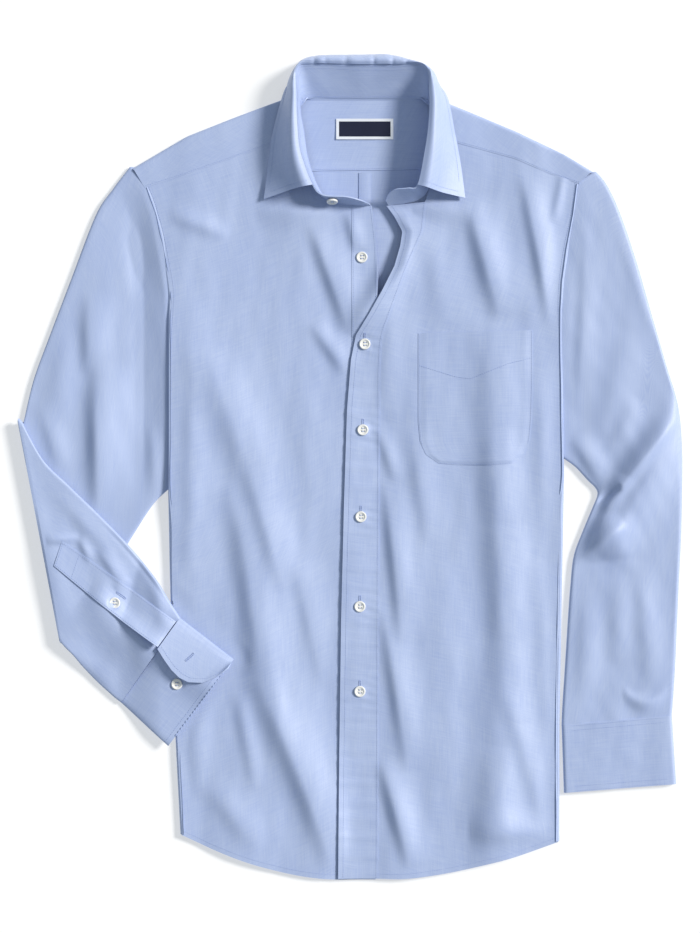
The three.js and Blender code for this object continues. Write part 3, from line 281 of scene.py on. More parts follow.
def lerp(a, b, t):
    return a + (b - a) * t


def row_at(rows, place):
    """The row at each place between the rows, on a smooth curve through every column."""
    place = np.asarray(place, float)
    blend = {}
    for name, column in rows.items():
        last = len(column) - 1
        k = np.clip(np.floor(place).astype(int), 0, last - 1)
        t = np.clip(place - k, 0, 1)
        before, low, high, after = (column[np.clip(k + step, 0, last)] for step in (-1, 0, 1, 2))
        rise = (high - before) / 2 * t * (1 - t) ** 2
        fall = (after - low) / 2 * t * t * (1 - t)
        blend[name] = lerp(low, high, t * t * (3 - 2 * t)) + rise - fall
    return blend


def straight_row(rows, place):
    """The row at each place between the rows, with straight steps."""
    return {name: np.interp(place, np.arange(len(column)), column) for name, column in rows.items()}


def row_by(rows, name, value):
    """The row where one column, which runs steadily up or down, has this value."""
    way = 1 if rows[name][-1] > rows[name][0] else -1
    return {other: np.interp(way * value, way * rows[name], column) for other, column in rows.items()}


def smooth(points, steps=24):
    """Dense points of a smooth curve through a few."""
    points = np.asarray(points, float)
    ends = 2 * points[0] - points[1], 2 * points[-1] - points[-2]
    padded = np.vstack([ends[0], points, ends[1]])
    made = []
    for a, b, c, d in zip(padded, padded[1:], padded[2:], padded[3:]):
        before, here, after = (math.sqrt(math.dist(*pair)) for pair in ((a, b), (b, c), (c, d)))
        start = ((b - a) / before - (c - a) / (before + here) + (c - b) / here) * here
        end = ((c - b) / here - (d - b) / (here + after) + (d - c) / after) * here
        t = np.linspace(0, 1, steps, endpoint=False)[:, None]
        made.append(
            b + start * t + (3 * (c - b) - 2 * start - end) * t**2 + (2 * (b - c) + start + end) * t**3
        )
    return np.vstack([*made, points[-1:]])


def unit(vectors):
    return vectors / np.maximum(np.linalg.norm(vectors, axis=-1, keepdims=True), 1e-9)


def lengths(points):
    """How far along a line each of its points is."""
    steps = np.linalg.norm(np.diff(points, axis=0), axis=1)
    return np.concatenate([[0], np.cumsum(steps)])


def along(points, share):
    """The places at these shares of a line's length."""
    run = lengths(points)
    return np.stack([np.interp(share * run[-1], run, axis) for axis in points.T], axis=-1)


def folds_at(rows, x, y):
    """Height of a set of folds over these places."""
    total = np.zeros_like(x)
    for x0, y0, x1, y1, bend, left, right, high in zip(*rows.values()):
        run_x, run_y = x1 - x0, y1 - y0
        length = math.hypot(run_x, run_y)
        share = np.clip(((x - x0) * run_x + (y - y0) * run_y) / length**2, 0, 1)
        body = 4 * share * (1 - share)
        aside = ((x - x0) * run_y - (y - y0) * run_x) / length - bend * body
        total += high * body * np.exp(-((aside / np.where(aside < 0, left, right)) ** 2))
    return total


def ripples(x, y, seed, wave, high):
    """Small uneven waves all over the cloth, the same on every run."""
    dice = np.random.default_rng(seed)
    total = np.zeros_like(x)
    for _ in range(RIPPLE_WAVES):
        angle, phase = dice.uniform(0, math.tau, 2)
        turns = math.tau / (wave * dice.uniform(*RIPPLE_SPREAD))
        total += np.sin((x * math.cos(angle) + y * math.sin(angle)) * turns + phase)
    return high * total / math.sqrt(RIPPLE_WAVES / 2)


# Sums on grids of points


def normals_of(grid):
    """The way out of a grid at each of its points."""
    return unit(np.cross(np.gradient(grid, axis=0), np.gradient(grid, axis=1)))


def line_on(grid, place, inset):
    """Points at one inset from the first column, and the way out of the cloth there."""
    normals = normals_of(grid)
    points, ways = [], []
    for line, out in zip(grid, normals):
        run = lengths(line)
        points.append([np.interp(inset, run, axis) for axis in line.T])
        ways.append([np.interp(inset, run, axis) for axis in out.T])
    return np.array(points)[place], np.array(ways)[place]


# Meshes

SHARP_CLOTH = math.radians(50)
SHARP_BUTTON = math.radians(70)

laid = {}


def object_from(name, points, faces, material, uv=None, sharp=SHARP_CLOTH):
    """A mesh object in metres, in the frame, that rides on the shirt."""
    mesh = bpy.data.meshes.new(name)
    mesh.from_pydata(((points + SHIFT) / 1000).tolist(), [], faces)
    mesh.materials.append(material)
    if uv is not None:
        corners = np.empty(len(mesh.loops), np.int32)
        mesh.loops.foreach_get("vertex_index", corners)
        layer = mesh.uv_layers.new(name="cloth")
        layer.data.foreach_set("uv", uv[corners].astype(np.float32).ravel())
    mesh.shade_smooth()
    mesh.set_sharp_from_angle(angle=sharp)
    piece = bpy.data.objects.new(name, mesh)
    bpy.context.collection.objects.link(piece)
    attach(piece, "root")
    return piece


def grid_faces(rows, columns, first=0, closed=False):
    """Quads between the points of a grid whose lines may close on themselves."""
    at = first + np.arange(rows * columns).reshape(rows, columns)
    if closed:
        at = np.hstack([at, at[:, :1]])
    corners = (at[:-1, :-1], at[1:, :-1], at[1:, 1:], at[:-1, 1:])
    return np.stack([c.ravel() for c in corners], axis=1)


def rim_faces(front, behind):
    """Quads between two matching closed rows of point numbers."""
    return np.stack([front, behind, np.roll(behind, -1), np.roll(front, -1)], axis=1)


def grid_uv(grid):
    """Metres along the weft and the warp of a grid."""
    across = np.linalg.norm(np.diff(grid, axis=1), axis=-1).cumsum(axis=1)
    down = np.linalg.norm(np.diff(grid, axis=0), axis=-1).cumsum(axis=0)
    across = np.pad(across, ((0, 0), (1, 0)))
    down = np.pad(down, ((1, 0), (0, 0)))
    return np.stack([across, down], axis=-1).reshape(-1, 2) / 1000


def shell(name, grid, material, wall, share=1.0):
    """A wall of cloth on a grid. share says how much of the wall lies behind the grid."""
    laid[name] = grid
    rows, columns = grid.shape[:2]
    normals = normals_of(grid)
    front = grid + normals * wall * (1 - share)
    behind = grid - normals * wall * share
    count = rows * columns
    at = np.arange(count).reshape(rows, columns)
    edge = np.concatenate([at[0, :-1], at[:-1, -1], at[-1, :0:-1], at[:0:-1, 0]])
    faces = np.vstack([
        grid_faces(rows, columns),
        grid_faces(rows, columns, count)[:, ::-1],
        rim_faces(edge, edge + count),
    ])
    points = np.vstack([front.reshape(-1, 3), behind.reshape(-1, 3)])
    return object_from(name, points, faces.tolist(), material, np.vstack([grid_uv(grid)] * 2))


def tube(name, outer, inner, material):
    """An open tube of cloth between matching outer and inner rings."""
    laid[name] = outer
    rings, count = outer.shape[:2]
    size = rings * count
    ends = [np.arange(count)[::-1], size - count + np.arange(count)]
    faces = np.vstack([
        grid_faces(rings, count, closed=True),
        grid_faces(rings, count, size, closed=True)[:, ::-1],
        *(rim_faces(end, end + size) for end in ends),
    ])
    points = np.vstack([outer.reshape(-1, 3), inner.reshape(-1, 3)])
    return object_from(name, points, faces.tolist(), material, np.vstack([grid_uv(outer)] * 2))


def tree_of(name):
    """A search tree of one piece's faces, in millimetres of the shirt's own axes."""
    mesh = bpy.data.objects[name].data
    places = np.empty(len(mesh.vertices) * 3)
    mesh.vertices.foreach_get("co", places)
    places = places.reshape(-1, 3) * 1000 - SHIFT
    return BVHTree.FromPolygons(places.tolist(), [tuple(p.vertices) for p in mesh.polygons])


def seats_on(tree, places, drop_from=200.0):
    """Where places in plan meet a piece from above, and the way out of it there."""
    points, ways = [], []
    for x, y in places:
        hit, out, _, _ = tree.ray_cast(Vector((x, y, drop_from)), Vector((0, 0, -1)))
        if hit is None:
            raise RuntimeError(f"nothing lies under {x:.1f}, {y:.1f}")
        points.append(hit)
        ways.append(out if out.z > 0 else -out)
    return np.array(points), np.array(ways)


# Materials

MIX_SHARE, MIX_LOW, MIX_HIGH = 0, 6, 7
MIX_COLOUR = 2
YARN_SCALES = (900.0, 40.0, 1.0)
SLUB_SCALES = (40.0, 900.0, 1.0)
PATCH_SCALE = 14.0
TWIST_SCALE = 900.0
CLOUD_SCALE = 260.0


class Sum:
    """A socket that Python's own sums work on. Each sum adds one Math node."""

    def __init__(self, shade, socket):
        self.shade = shade
        self.socket = socket

    def maths(self, operation, *others):
        return self.shade.maths(operation, self, *others)

    def __add__(self, other):
        return self.maths("ADD", other)

    def __mul__(self, other):
        return self.maths("MULTIPLY", other)

    def __sub__(self, other):
        return self.maths("SUBTRACT", other)

    def __rsub__(self, other):
        return self.shade.maths("SUBTRACT", other, self)

    def __lt__(self, other):
        return self.maths("LESS_THAN", other)

    __radd__ = __add__
    __rmul__ = __mul__

    def sine(self):
        return self.maths("SINE")

    def size(self):
        return self.maths("ABSOLUTE")


class Shade:
    """One material, whose nodes are made by expressions."""

    def __init__(self, name, constants):
        self.material = bpy.data.materials.new(name)
        self.material.use_nodes = True
        self.nodes = self.material.node_tree.nodes
        self.surface = self.nodes["Principled BSDF"]
        for socket, value in constants.items():
            self.surface.inputs[socket].default_value = value

    def put(self, socket, value):
        if isinstance(value, Sum):
            self.material.node_tree.links.new(value.socket, socket)
        else:
            socket.default_value = value

    def node(self, kind, settings=(), inputs=(), output=0):
        made = self.nodes.new(kind)
        for name, value in dict(settings).items():
            setattr(made, name, value)
        for key, value in dict(inputs).items():
            self.put(made.inputs[key], value)
        return Sum(self, made.outputs[output])

    def maths(self, operation, *values):
        return self.node("ShaderNodeMath", {"operation": operation}, dict(enumerate(values)))

    def feed(self, socket, value):
        self.put(self.surface.inputs[socket], value)

    def mix(self, share, low, high):
        """A colour between two, which are colours or sockets."""
        inputs = {MIX_SHARE: share, MIX_LOW: low, MIX_HIGH: high}
        return self.node("ShaderNodeMix", {"data_type": "RGBA"}, inputs, MIX_COLOUR)

    def cloth_place(self):
        """The place on the cloth, and the metres along its weft and its warp."""
        place = self.node("ShaderNodeTexCoord", output="UV")
        across, down = (
            self.node("ShaderNodeSeparateXYZ", inputs={0: place}, output=axis) for axis in (0, 1)
        )
        return place, across, down

    def noise(self, place, scale, detail=2.0):
        return self.node("ShaderNodeTexNoise", inputs={"Vector": place, "Scale": scale, "Detail": detail})

    def streaks(self, place, scales):
        """Noise drawn out along one way of the cloth."""
        return self.noise(self.node("ShaderNodeMapping", inputs={"Vector": place, "Scale": scales}), 1.0)

    def bump(self, height, strength, distance):
        inputs = {"Strength": strength, "Distance": distance, "Height": height}
        self.feed("Normal", self.node("ShaderNodeBump", inputs=inputs))


def colours():
    return bpy.context.scene.shirt_colours


def sizes():
    return bpy.context.scene.shirt_sizes


def cotton():
    """Pinpoint cotton, made once: a pale weft over a blue warp, thread by thread, with uneven yarns."""
    if "shirting_cotton" not in bpy.data.materials:
        look = Shade("shirting_cotton", {
            "Specular IOR Level": 0.6, "Sheen Weight": 0.2, "Sheen Roughness": 0.4,
        })
        place, across, down = look.cloth_place()
        turns = math.tau / sizes().weave_pitch
        threads = (across * turns).sine() * (down * turns).sine() * 0.5 + 0.5
        yarns = look.streaks(place, YARN_SCALES)
        slubs = look.streaks(place, SLUB_SCALES)
        patches = look.noise(place, PATCH_SCALE, 3.0)
        share = threads * 0.3 + yarns * 0.4 + slubs * 0.4 + patches * 0.3 - 0.25
        look.feed("Base Color", look.mix(share, list(colours().warp), list(colours().weft)))
        look.feed("Roughness", 0.54 - threads * 0.06)
        look.bump(threads * 0.6 + yarns * 0.5 + slubs * 0.5, 0.2, 0.00015)
    return bpy.data.materials["shirting_cotton"]


def thread_darkened_as_groove_shade():
    # Thread of its own blue, set darker than the cloth as painted shade for the grooves that the stitches
    # sink into.
    if "thread_darkened_as_groove_shade" not in bpy.data.materials:
        look = Shade("thread_darkened_as_groove_shade", {"Roughness": 0.5})
        twist = look.noise(look.node("ShaderNodeTexCoord", output="Object"), TWIST_SCALE)
        look.feed("Base Color", look.mix(twist, list(colours().thread), list(colours().weft)))
    return bpy.data.materials["thread_darkened_as_groove_shade"]


def cloth_piece(piece, nodes):
    """Hides the solids that a made piece of cloth takes the place of."""
    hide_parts(*nodes)


# Fronts

FRONT_COLUMNS = 84
NECK_ROWS = 34
SEAM_ROWS = 270
ROLL_STEPS = 8
STRIP_COLUMNS = 23
STRIP_TILT_RUN = 90
FREE_FROM_SIDE = (3, 26)
CLEAR_OF_CUFF = (1, 20)
CUFF_WAY_UP = (0.68, 0.735)

# The doubled strips at the middle hold the folds back. Below the neck the right front sinks under them.
STIFF_MIDDLE = {"x": 10, "wide": 15, "full": 60, "gone": 130, "hold": 0.85}
UNDERLAP = {"start": -48, "end": -14, "full": 195, "gone": 255, "drop": 2.2}

# The placket's edge dips where it turns away at the neck, and its cloth puckers at the buttons.
EDGE_DIP = {"wide": 11, "deep": 3.4, "start": 176, "full": 205, "fade": 236, "gone": 258}
PUCKER = {"beside": 7, "wide": 12, "tall": 16, "high": 0.4, "pitch": 9, "slant": 0.15}


def front_top(x, y, side_rows, outward):
    """Top face of the fronts. The right one sinks near the middle, where the left one laps over it."""
    side = row_by(side_rows, "y", y)
    inside = outward * (side["x"] - x)
    near = 1 - smoothstep(inside, 0, SIDE_BLEND[outward])
    stiff = np.exp(-(((x - STIFF_MIDDLE["x"]) / STIFF_MIDDLE["wide"]) ** 4))
    stiff = stiff * (1 - smoothstep(y, STIFF_MIDDLE["full"], STIFF_MIDDLE["gone"]))
    free = smoothstep(inside, *FREE_FROM_SIDE) * clear_of_cuff(x, y)
    z = BODY_TOP + folds_at(FRONT_FOLDS, x, y) * free * (1 - STIFF_MIDDLE["hold"] * stiff)
    if outward < 0:
        under = smoothstep(x, UNDERLAP["start"], UNDERLAP["end"])
        z = z - UNDERLAP["drop"] * under * (1 - smoothstep(y, UNDERLAP["full"], UNDERLAP["gone"]))
    return z + near * (side["top"] - BODY_TOP) + fine_folds(x, y) * clear_of_cuff(x, y)


def clear_of_cuff(x, y):
    """0 under the cuff that lies on the right front, and 1 away from it."""
    (a_x, a_y), (b_x, b_y) = RIGHT_CUFF["endA"], RIGHT_CUFF["endB"]
    past = np.maximum((x - a_x) * (a_y - b_y) - (y - a_y) * (a_x - b_x), 0)
    past = past / math.dist((a_x, a_y), (b_x, b_y))
    above = np.maximum((x - a_x) * CUFF_WAY_UP[0] + (y - a_y) * CUFF_WAY_UP[1], 0)
    return smoothstep(np.hypot(past, above), *CLEAR_OF_CUFF)


def fine_folds(x, y):
    """The smaller unevenness of pressed cotton, which runs down the shirt."""
    return sizes().ripple * (ripples(x, 0.22 * y, 3, 60, 0.5) + ripples(x, 0.4 * y, 8, 22, 0.09))


def front_grid(yoke_seam, neck, hem, seam, side_rows, outward):
    """A patch between four edges, then the side rolled under and a flat flange."""
    side = smooth(np.stack([side_rows["x"] - outward * side_rows["radius"], side_rows["y"]], axis=1))
    top = np.array(yoke_seam, float) - [0, 2 * SEAM_GAP]
    bottom = smooth(hem)
    neck_line = smooth(neck)
    seam_line = smooth([neck[-1], *seam[1:]])
    middle = np.vstack([neck_line, seam_line[1:]])
    neck_share = lengths(neck_line)[-1] / lengths(middle)[-1]
    t = np.concatenate([
        np.linspace(0, neck_share, NECK_ROWS, endpoint=False),
        np.linspace(neck_share, 1, SEAM_ROWS),
    ])[:, None, None]
    s = np.linspace(0, 1, FRONT_COLUMNS + 1)[None, :, None]
    corner = top[0], along(side, 0.0), bottom[0], along(side, 1.0)
    plan = along(top, s[..., 0]) * (1 - t) + along(bottom, s[..., 0]) * t
    plan = plan + along(middle, t[..., 0]) * (1 - s) + along(side, t[..., 0]) * s
    plan = plan - corner[0] * (1 - s) * (1 - t) - corner[1] * s * (1 - t)
    plan = plan - corner[2] * (1 - s) * t - corner[3] * s * t
    x, y = plan[..., 0], plan[..., 1]
    z = front_top(x, y, side_rows, outward)
    edge_y = y[:, -1]
    row = row_by(side_rows, "y", edge_y)
    x[:, -1] = row["x"] - outward * row["radius"]
    edge_z = z[:, -1]
    lines = [np.stack([x, y, z], axis=-1)]
    for k in range(1, ROLL_STEPS + 2):
        angle = math.pi * row["turn"] * min(k / ROLL_STEPS, 1)
        flat = row["flange"] if k > ROLL_STEPS else 0
        rolled_x = x[:, -1] + outward * (row["radius"] * np.sin(angle) + flat * np.cos(angle))
        rolled_z = edge_z - row["radius"] * (1 - np.cos(angle)) - flat * np.sin(angle)
        lines.append(np.stack([rolled_x, edge_y, np.maximum(rolled_z, 0)], axis=-1)[:, None])
    return np.concatenate(lines, axis=1)


def strip_grid(panel, edge_x, height, outward, tilt):
    """A strip down a front's edge, row for row with the panel that it is sewn to."""
    seam = panel[NECK_ROWS:, 0]
    share = np.linspace(0, 1, STRIP_COLUMNS)[None, :]
    fade = np.maximum(1 - (seam[0, 1] - seam[:, 1]) / STRIP_TILT_RUN, 0)[:, None]
    y = seam[:, 1, None] - tilt * share * fade
    x = lerp(seam[:, 0, None] + outward * SEAM_LAP, edge_x(y), share)
    return np.stack([x, y, height(x, y) + SEAM_STEP], axis=-1)


def pinned(x, y, z, nodes, wide=7.0):
    """The cloth drawn level with the underside of the buttons that are sewn to it."""
    for node in nodes:
        low, high = box_of(node)
        middle = (low + high) / 2
        near = np.exp(-((((x - middle[0]) ** 2 + (y - middle[1]) ** 2) / wide**2) ** 2))
        z = lerp(z, low[2], near)
    return z


def placket_top(x, y):
    edge = row_by(PLACKET, "y", y)["edge"]
    near = 1 - smoothstep(x, edge, edge + EDGE_DIP["wide"])
    drop = EDGE_DIP["deep"] * near * smoothstep(y, EDGE_DIP["start"], EDGE_DIP["full"])
    drop = drop * (1 - smoothstep(y, EDGE_DIP["fade"], EDGE_DIP["gone"]))
    z = front_top(x, y, LEFT_SIDE, 1) - drop + puckers(x, y)
    return pinned(x, y, z, FRONT_BUTTON_NAMES[1:])


def band_top(x, y):
    return pinned(x, y, front_top(x, y, RIGHT_SIDE, -1), FRONT_BUTTON_NAMES[:1])


def puckers(x, y):
    """Short level creases, strongest where the buttons pull on the placket."""
    total = 0.14 * ripples(0.12 * x, y, 21, 13, 1.0) * (1 - smoothstep(y, 60, 140))
    for button_x, button_y in FRONT_BUTTONS[1:]:
        away_x, away_y = x - button_x, y - button_y
        beside = (away_x - PUCKER["beside"]) / PUCKER["wide"]
        near = np.exp(-(beside**2) - (away_y / PUCKER["tall"]) ** 2)
        wave = np.sin(away_y * math.tau / PUCKER["pitch"] + PUCKER["slant"] * away_x)
        total = total + PUCKER["high"] * near * wave
    return total


class ShirtFronts(bpy.types.Operator):
    """Both fronts with their sides rolled under, the button band and the front placket"""

    bl_idname = "shirt.fronts"
    bl_label = "Fronts"

    def execute(self, context):
        wall = sizes().wall
        band_seam = np.stack([BAND["seam"] - SEAM_GAP, BAND["y"]], axis=1)
        placket_seam = np.stack([PLACKET["seam"] + SEAM_GAP, PLACKET["y"]], axis=1)
        right = front_grid(RIGHT_YOKE_SEAM, RIGHT_NECK, RIGHT_HEM, list(band_seam), RIGHT_SIDE, -1)
        left = front_grid(LEFT_YOKE_SEAM, LEFT_NECK, LEFT_HEM, list(placket_seam), LEFT_SIDE, 1)
        band = strip_grid(right, lambda y: row_by(BAND, "y", y)["edge"], band_top, -1, 1)
        placket = strip_grid(left, lambda y: row_by(PLACKET, "y", y)["edge"], placket_top, 1, 4)
        cloth_piece(shell("front_right_cloth", right[:, ::-1], cotton(), wall), ["front_right"])
        cloth_piece(shell("front_left_cloth", left, cotton(), wall), ["front_left"])
        cloth_piece(shell("button_band_cloth", band, cotton(), wall), ["button_band"])
        cloth_piece(shell("front_placket_cloth", placket[:, ::-1], cotton(), wall), ["front_placket"])
        return {"FINISHED"}


POCKET_WIDE, POCKET_DEEP = 115, 130
POCKET_SLANT = 3
POCKET_BELLY = 2
POCKET_RISE = (0.35, 1.1)
POCKET_SOFT_EDGE = 9


class ShirtPocket(bpy.types.Operator):
    """The chest pocket on the left front"""

    bl_idname = "shirt.pocket"
    bl_label = "Pocket"

    def execute(self, context):
        rows = straight_row(POCKET, np.linspace(0, len(POCKET["y"]) - 1, 90))
        share = np.linspace(0, 1, 80)[None, :]
        x = lerp(rows["left"][:, None], rows["right"][:, None], share)
        down = np.linspace(0, 1, 90)[:, None]
        slant, belly = POCKET_SLANT * share * (1 - down), POCKET_BELLY * np.sin(math.pi * share) * down**6
        y = rows["y"][:, None] + slant - belly
        edge = np.minimum(np.minimum(share, 1 - share) * POCKET_WIDE, (1 - down) * POCKET_DEEP)
        z = front_top(x, y, LEFT_SIDE, 1) + lerp(*POCKET_RISE, smoothstep(edge, 0, POCKET_SOFT_EDGE))
        piece = shell("pocket_cloth", np.stack([x, y, z], axis=-1), cotton(), APPLIED_WALL)
        cloth_piece(piece, ["pocket"])
        return {"FINISHED"}


# Back and yoke

YOKE_FLAT_STEPS = 14
YOKE_TOP_STEPS = 12
NECK_LIP = 2.8
NECK_TURN = 0.15
SEAM_RIDGE = 1.0


def yoke_grid(steps):
    row = straight_row(YOKE, np.linspace(0, len(YOKE["turn"]) - 1, steps))
    radius = BODY_TOP / 2
    start = np.stack([row["backX"], row["backY"]], axis=1)
    ahead = np.stack([row["ridgeX"], row["ridgeY"]], axis=1) - start
    length = np.linalg.norm(ahead, axis=1, keepdims=True)
    ahead = ahead / length
    turn = np.clip(row["turn"], NECK_TURN, 1)[:, None]

    def place(run, height):
        return np.hstack([start + ahead * run, np.broadcast_to(height, run.shape)])

    reach = length - radius
    lines = [place(reach * k / YOKE_FLAT_STEPS, 0 if k else SEAM_RIDGE) for k in range(YOKE_FLAT_STEPS)]
    for k in range(ROLL_STEPS + 1):
        angle = math.pi * turn * k / ROLL_STEPS
        lines.append(place(reach + radius * np.sin(angle), radius * (1 - np.cos(angle))))
    last = lines[-1]
    angle = math.pi * turn
    lip = last + np.hstack([ahead * np.cos(angle), np.sin(angle)]) * NECK_LIP
    end = np.stack([row["endX"], row["endY"], np.full(steps, BODY_TOP)], axis=1)
    end = end + unit(end - last) * [1, 1, 0] * 2 * SEAM_LAP + [0, 0, SEAM_STEP]
    end = lerp(lip, end, smoothstep(turn, NECK_TURN, 1))
    lines += [lerp(last, end, k / YOKE_TOP_STEPS) for k in range(1, YOKE_TOP_STEPS + 1)]
    grid = np.stack(lines, axis=1)
    top = smoothstep(grid[..., 2], BODY_TOP * 0.8, BODY_TOP)
    x, y = grid[..., 0], grid[..., 1]
    grid[..., 2] += top * fine_folds(x, y)
    return grid[::-1]


class ShirtBack(bpy.types.Operator):
    """The back with its centre pleat, and the yoke that rolls over both shoulders"""

    bl_idname = "shirt.back"
    bl_label = "Back and yoke"

    def execute(self, context):
        down = np.linspace(0, 1, 120)
        row = row_at(BACK, down * (len(BACK["y"]) - 1))
        share = np.linspace(1, 0, 90)[None, :]
        x = lerp(row["left"][:, None], row["right"][:, None], share)
        seam = np.interp(x, YOKE["backX"], YOKE["backY"]) + SEAM_LAP
        hem = row["y"][:, None] - BACK_HEM_DIP * np.sin(math.pi * share)
        y = lerp(seam, row["y"][:, None], smoothstep(down, 0, 0.23)[:, None])
        y = lerp(y, hem, smoothstep(down, 0.7, 1)[:, None])
        back = shell("back_cloth", np.stack([x, y, 0 * x], axis=-1), cotton(), CLOTH)
        cloth_piece(back, ["back"])
        u = np.linspace(-1, 1, 9)[None, :]
        v = np.linspace(PLEAT["start"], PLEAT["end"], 60)[:, None]
        pleat = np.stack([
            PLEAT["x"] + u * PLEAT["wide"] + 0 * v,
            v + 0 * u,
            CLOTH + SEAM_GAP + PLEAT["high"] * (1 - 0.5 * u**2) + 0 * v,
        ], axis=-1)
        cloth_piece(shell("back_pleat_cloth", pleat, cotton(), APPLIED_WALL), ["back_pleat"])
        yoke = shell("yoke_cloth", yoke_grid(220), cotton(), sizes().wall)
        cloth_piece(yoke, ["yoke"])
        return {"FINISHED"}


LABEL_WALL = 0.5
LABEL_LIES = 0.75
LABEL_BORDER = 0.0028
LABEL_RIB = 0.0005


class ShirtLabel(bpy.types.Operator):
    """The bare woven label inside the neck, with its border"""

    bl_idname = "shirt.label"
    bl_label = "Neck label"

    def execute(self, context):
        u = np.linspace(-0.5, 0.5, 60)[None, :]
        v = np.linspace(0.5, -0.5, 24)[:, None]
        x = LABEL_PLACE[0] + u * LABEL_SIZE[0] + 0 * v
        y = LABEL_PLACE[1] + v * LABEL_SIZE[1] + 0 * u
        z = CLOTH + SEAM_GAP + LABEL_LIES + ripples(x, y, 5, 40, 0.12)
        look = Shade("label_satin", {"Roughness": 0.7, "Specular IOR Level": 0.3})
        _, across, down = look.cloth_place()
        half = LABEL_SIZE / 2000
        within = half - LABEL_BORDER
        inside = ((across - half[0]).size() < within[0]) * ((down - half[1]).size() < within[1])
        ribs = (down * (math.tau / LABEL_RIB)).sine() * 0.5 + 0.5
        look.feed("Base Color", look.mix(inside, list(colours().label_edge), list(colours().label)))
        look.bump(ribs, 0.3, 0.0002)
        piece = shell("neck_label_cloth", np.stack([x, y, z], axis=-1), look.material, LABEL_WALL)
        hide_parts("neck_label")
        return {"FINISHED"}


# Collar

FALL_SEAT = 1.8
ROLL_RISE = 2.0
ON_TABLE = 0.7
CREST_SHARE = 0.35
ROLL_CREASES = (-36, -25, -4, 24, 43, 57)


def stand_grid(steps):
    row = row_at(STAND, np.linspace(0, len(STAND["topX"]) - 1, steps))
    seam = np.stack([row["seamX"], row["seamY"], row["seamZ"]], axis=1)
    top = np.stack([row["topX"], row["topY"], row["topZ"]], axis=1)
    seam = seam - np.where(seam[:, 2:] < BODY_TOP, [0, 1.2, 1.0], [0, 0, 0.6])
    t = np.linspace(0, 1, 14)[None, :, None]
    grid = lerp(seam[:, None], top[:, None], t)
    middle = np.sin(math.pi * t[..., 0])
    grid[..., 1] += middle * ripples(grid[..., 0] * 0.35, grid[..., 2], 17, 11, 0.45)
    return grid


def fall_grid(steps, across):
    row = row_at(FALL, np.linspace(0, len(FALL["along"]) - 1, steps))
    stand = row_at(STAND, row["along"])
    root = np.stack([stand["topX"], stand["topY"], stand["topZ"] + FALL_SEAT], axis=1)
    out = np.stack([row["outX"], row["outY"], row["outZ"]], axis=1)
    edge = np.stack([row["edgeX"], row["edgeY"], row["edgeZ"]], axis=1)
    crest = lerp(root, out, CREST_SHARE)
    crest[:, 2] = root[:, 2] + ROLL_RISE
    tuck = np.clip(row["tuck"], 0, 1)[:, None]
    foot = lerp(out, edge, lerp(0.5, 0.08, tuck))
    foot[:, 2:] = lerp(edge[:, 2:], out[:, 2:], lerp(0.45, 0.1, tuck))
    lines = []
    for section in zip(root, crest, out, foot, edge):
        lines.append(along(smooth(section), np.linspace(0, 1, across)))
    grid = np.array(lines)
    x, y = grid[..., 0], grid[..., 1]
    for place in ROLL_CREASES:
        grid[..., 2] -= 1.3 * np.exp(-(((x - place) / 2.2) ** 2)) * smoothstep(y, 398, 408)
    grid[..., 2] += smoothstep(y, 398, 408) * ripples(x, 0.2 * y, 31, 26, 0.3)
    grid[..., 2] = np.maximum(grid[..., 2], ON_TABLE)
    return grid


class ShirtCollar(bpy.types.Operator):
    """The collar stand and the collar that falls from it"""

    bl_idname = "shirt.collar"
    bl_label = "Collar"

    def execute(self, context):
        stand = shell("collar_stand_cloth", stand_grid(260), cotton(), CLOTH, 0.5)
        cloth_piece(stand, ["collar_stand"])
        fall = shell("collar_fall_cloth", fall_grid(300, 34), cotton(), CLOTH, 0.5)
        cloth_piece(fall, ["collar_fall"])
        return {"FINISHED"}


# Sleeves

FOLD_START = np.array([-331.0, 48.0])
FOLD_END = np.array([-286.0, -176.0])
FOREARM_LIFT = FOLD_AXIS_HEIGHT - 5.4
UNDERARM_EDGE = np.array([(-208.0, -47.0), (-292.0, -177.0)])
CORNER_STEPS = 7
RING_POINTS = 58
TUCK = {"in": 4.5, "flatten": 0.62}
ROLL_SQUARE = 0.45
LEAST_HEIGHT = 2.6
LEFT_ARM_RISE = 1.6
ARM_DIP = ((0, 3, 25, 34, 72), (4.0, 4.0, -2.0, -2.2, 0))


def carrier(x, y):
    """Height of what the folded forearm lies on: the sleeve below it, the table, the front's side."""
    run = unit(UNDERARM_EDGE[1] - UNDERARM_EDGE[0])
    past = (x - UNDERARM_EDGE[0, 0]) * -run[1] + (y - UNDERARM_EDGE[0, 1]) * run[0]
    over_arm = FOLD_AXIS_HEIGHT * (1 - smoothstep(past, 2, 46))
    over_body = (BODY_TOP + BODY_CLEAR) * smoothstep(x, -236, -190)
    return np.maximum(over_arm, over_body)


def flat_ring(width, high_a, high_b, inset):
    """A flattened ring between two edges: across it, its height, how freely folds may lift each point
    of its upper side, and the same for its lower side."""
    radius_a, radius_b = high_a / 2, high_b / 2

    def corner(centre, radius, start):
        angle = start - math.pi * np.linspace(0, 1, CORNER_STEPS + 1)
        across = centre + (radius - inset) * np.cos(angle)
        return across, radius + (radius - inset) * np.sin(angle), 0 * angle, 0 * angle

    def flat(shares, upper):
        loose = np.sqrt(np.sin(math.pi * shares))
        level = lerp(high_a, high_b, shares) - inset if upper else np.full_like(shares, inset)
        return lerp(radius_a, width - radius_b, shares), level, loose * upper, loose * (1 - upper)

    parts = [
        flat(np.linspace(0.985, 0.015, RING_POINTS), 0),
        corner(radius_a, radius_a, -math.pi / 2),
        flat(np.linspace(0.015, 0.985, RING_POINTS), 1),
        corner(width - radius_b, radius_b, math.pi / 2),
    ]
    return [np.concatenate(part) for part in zip(*parts)]


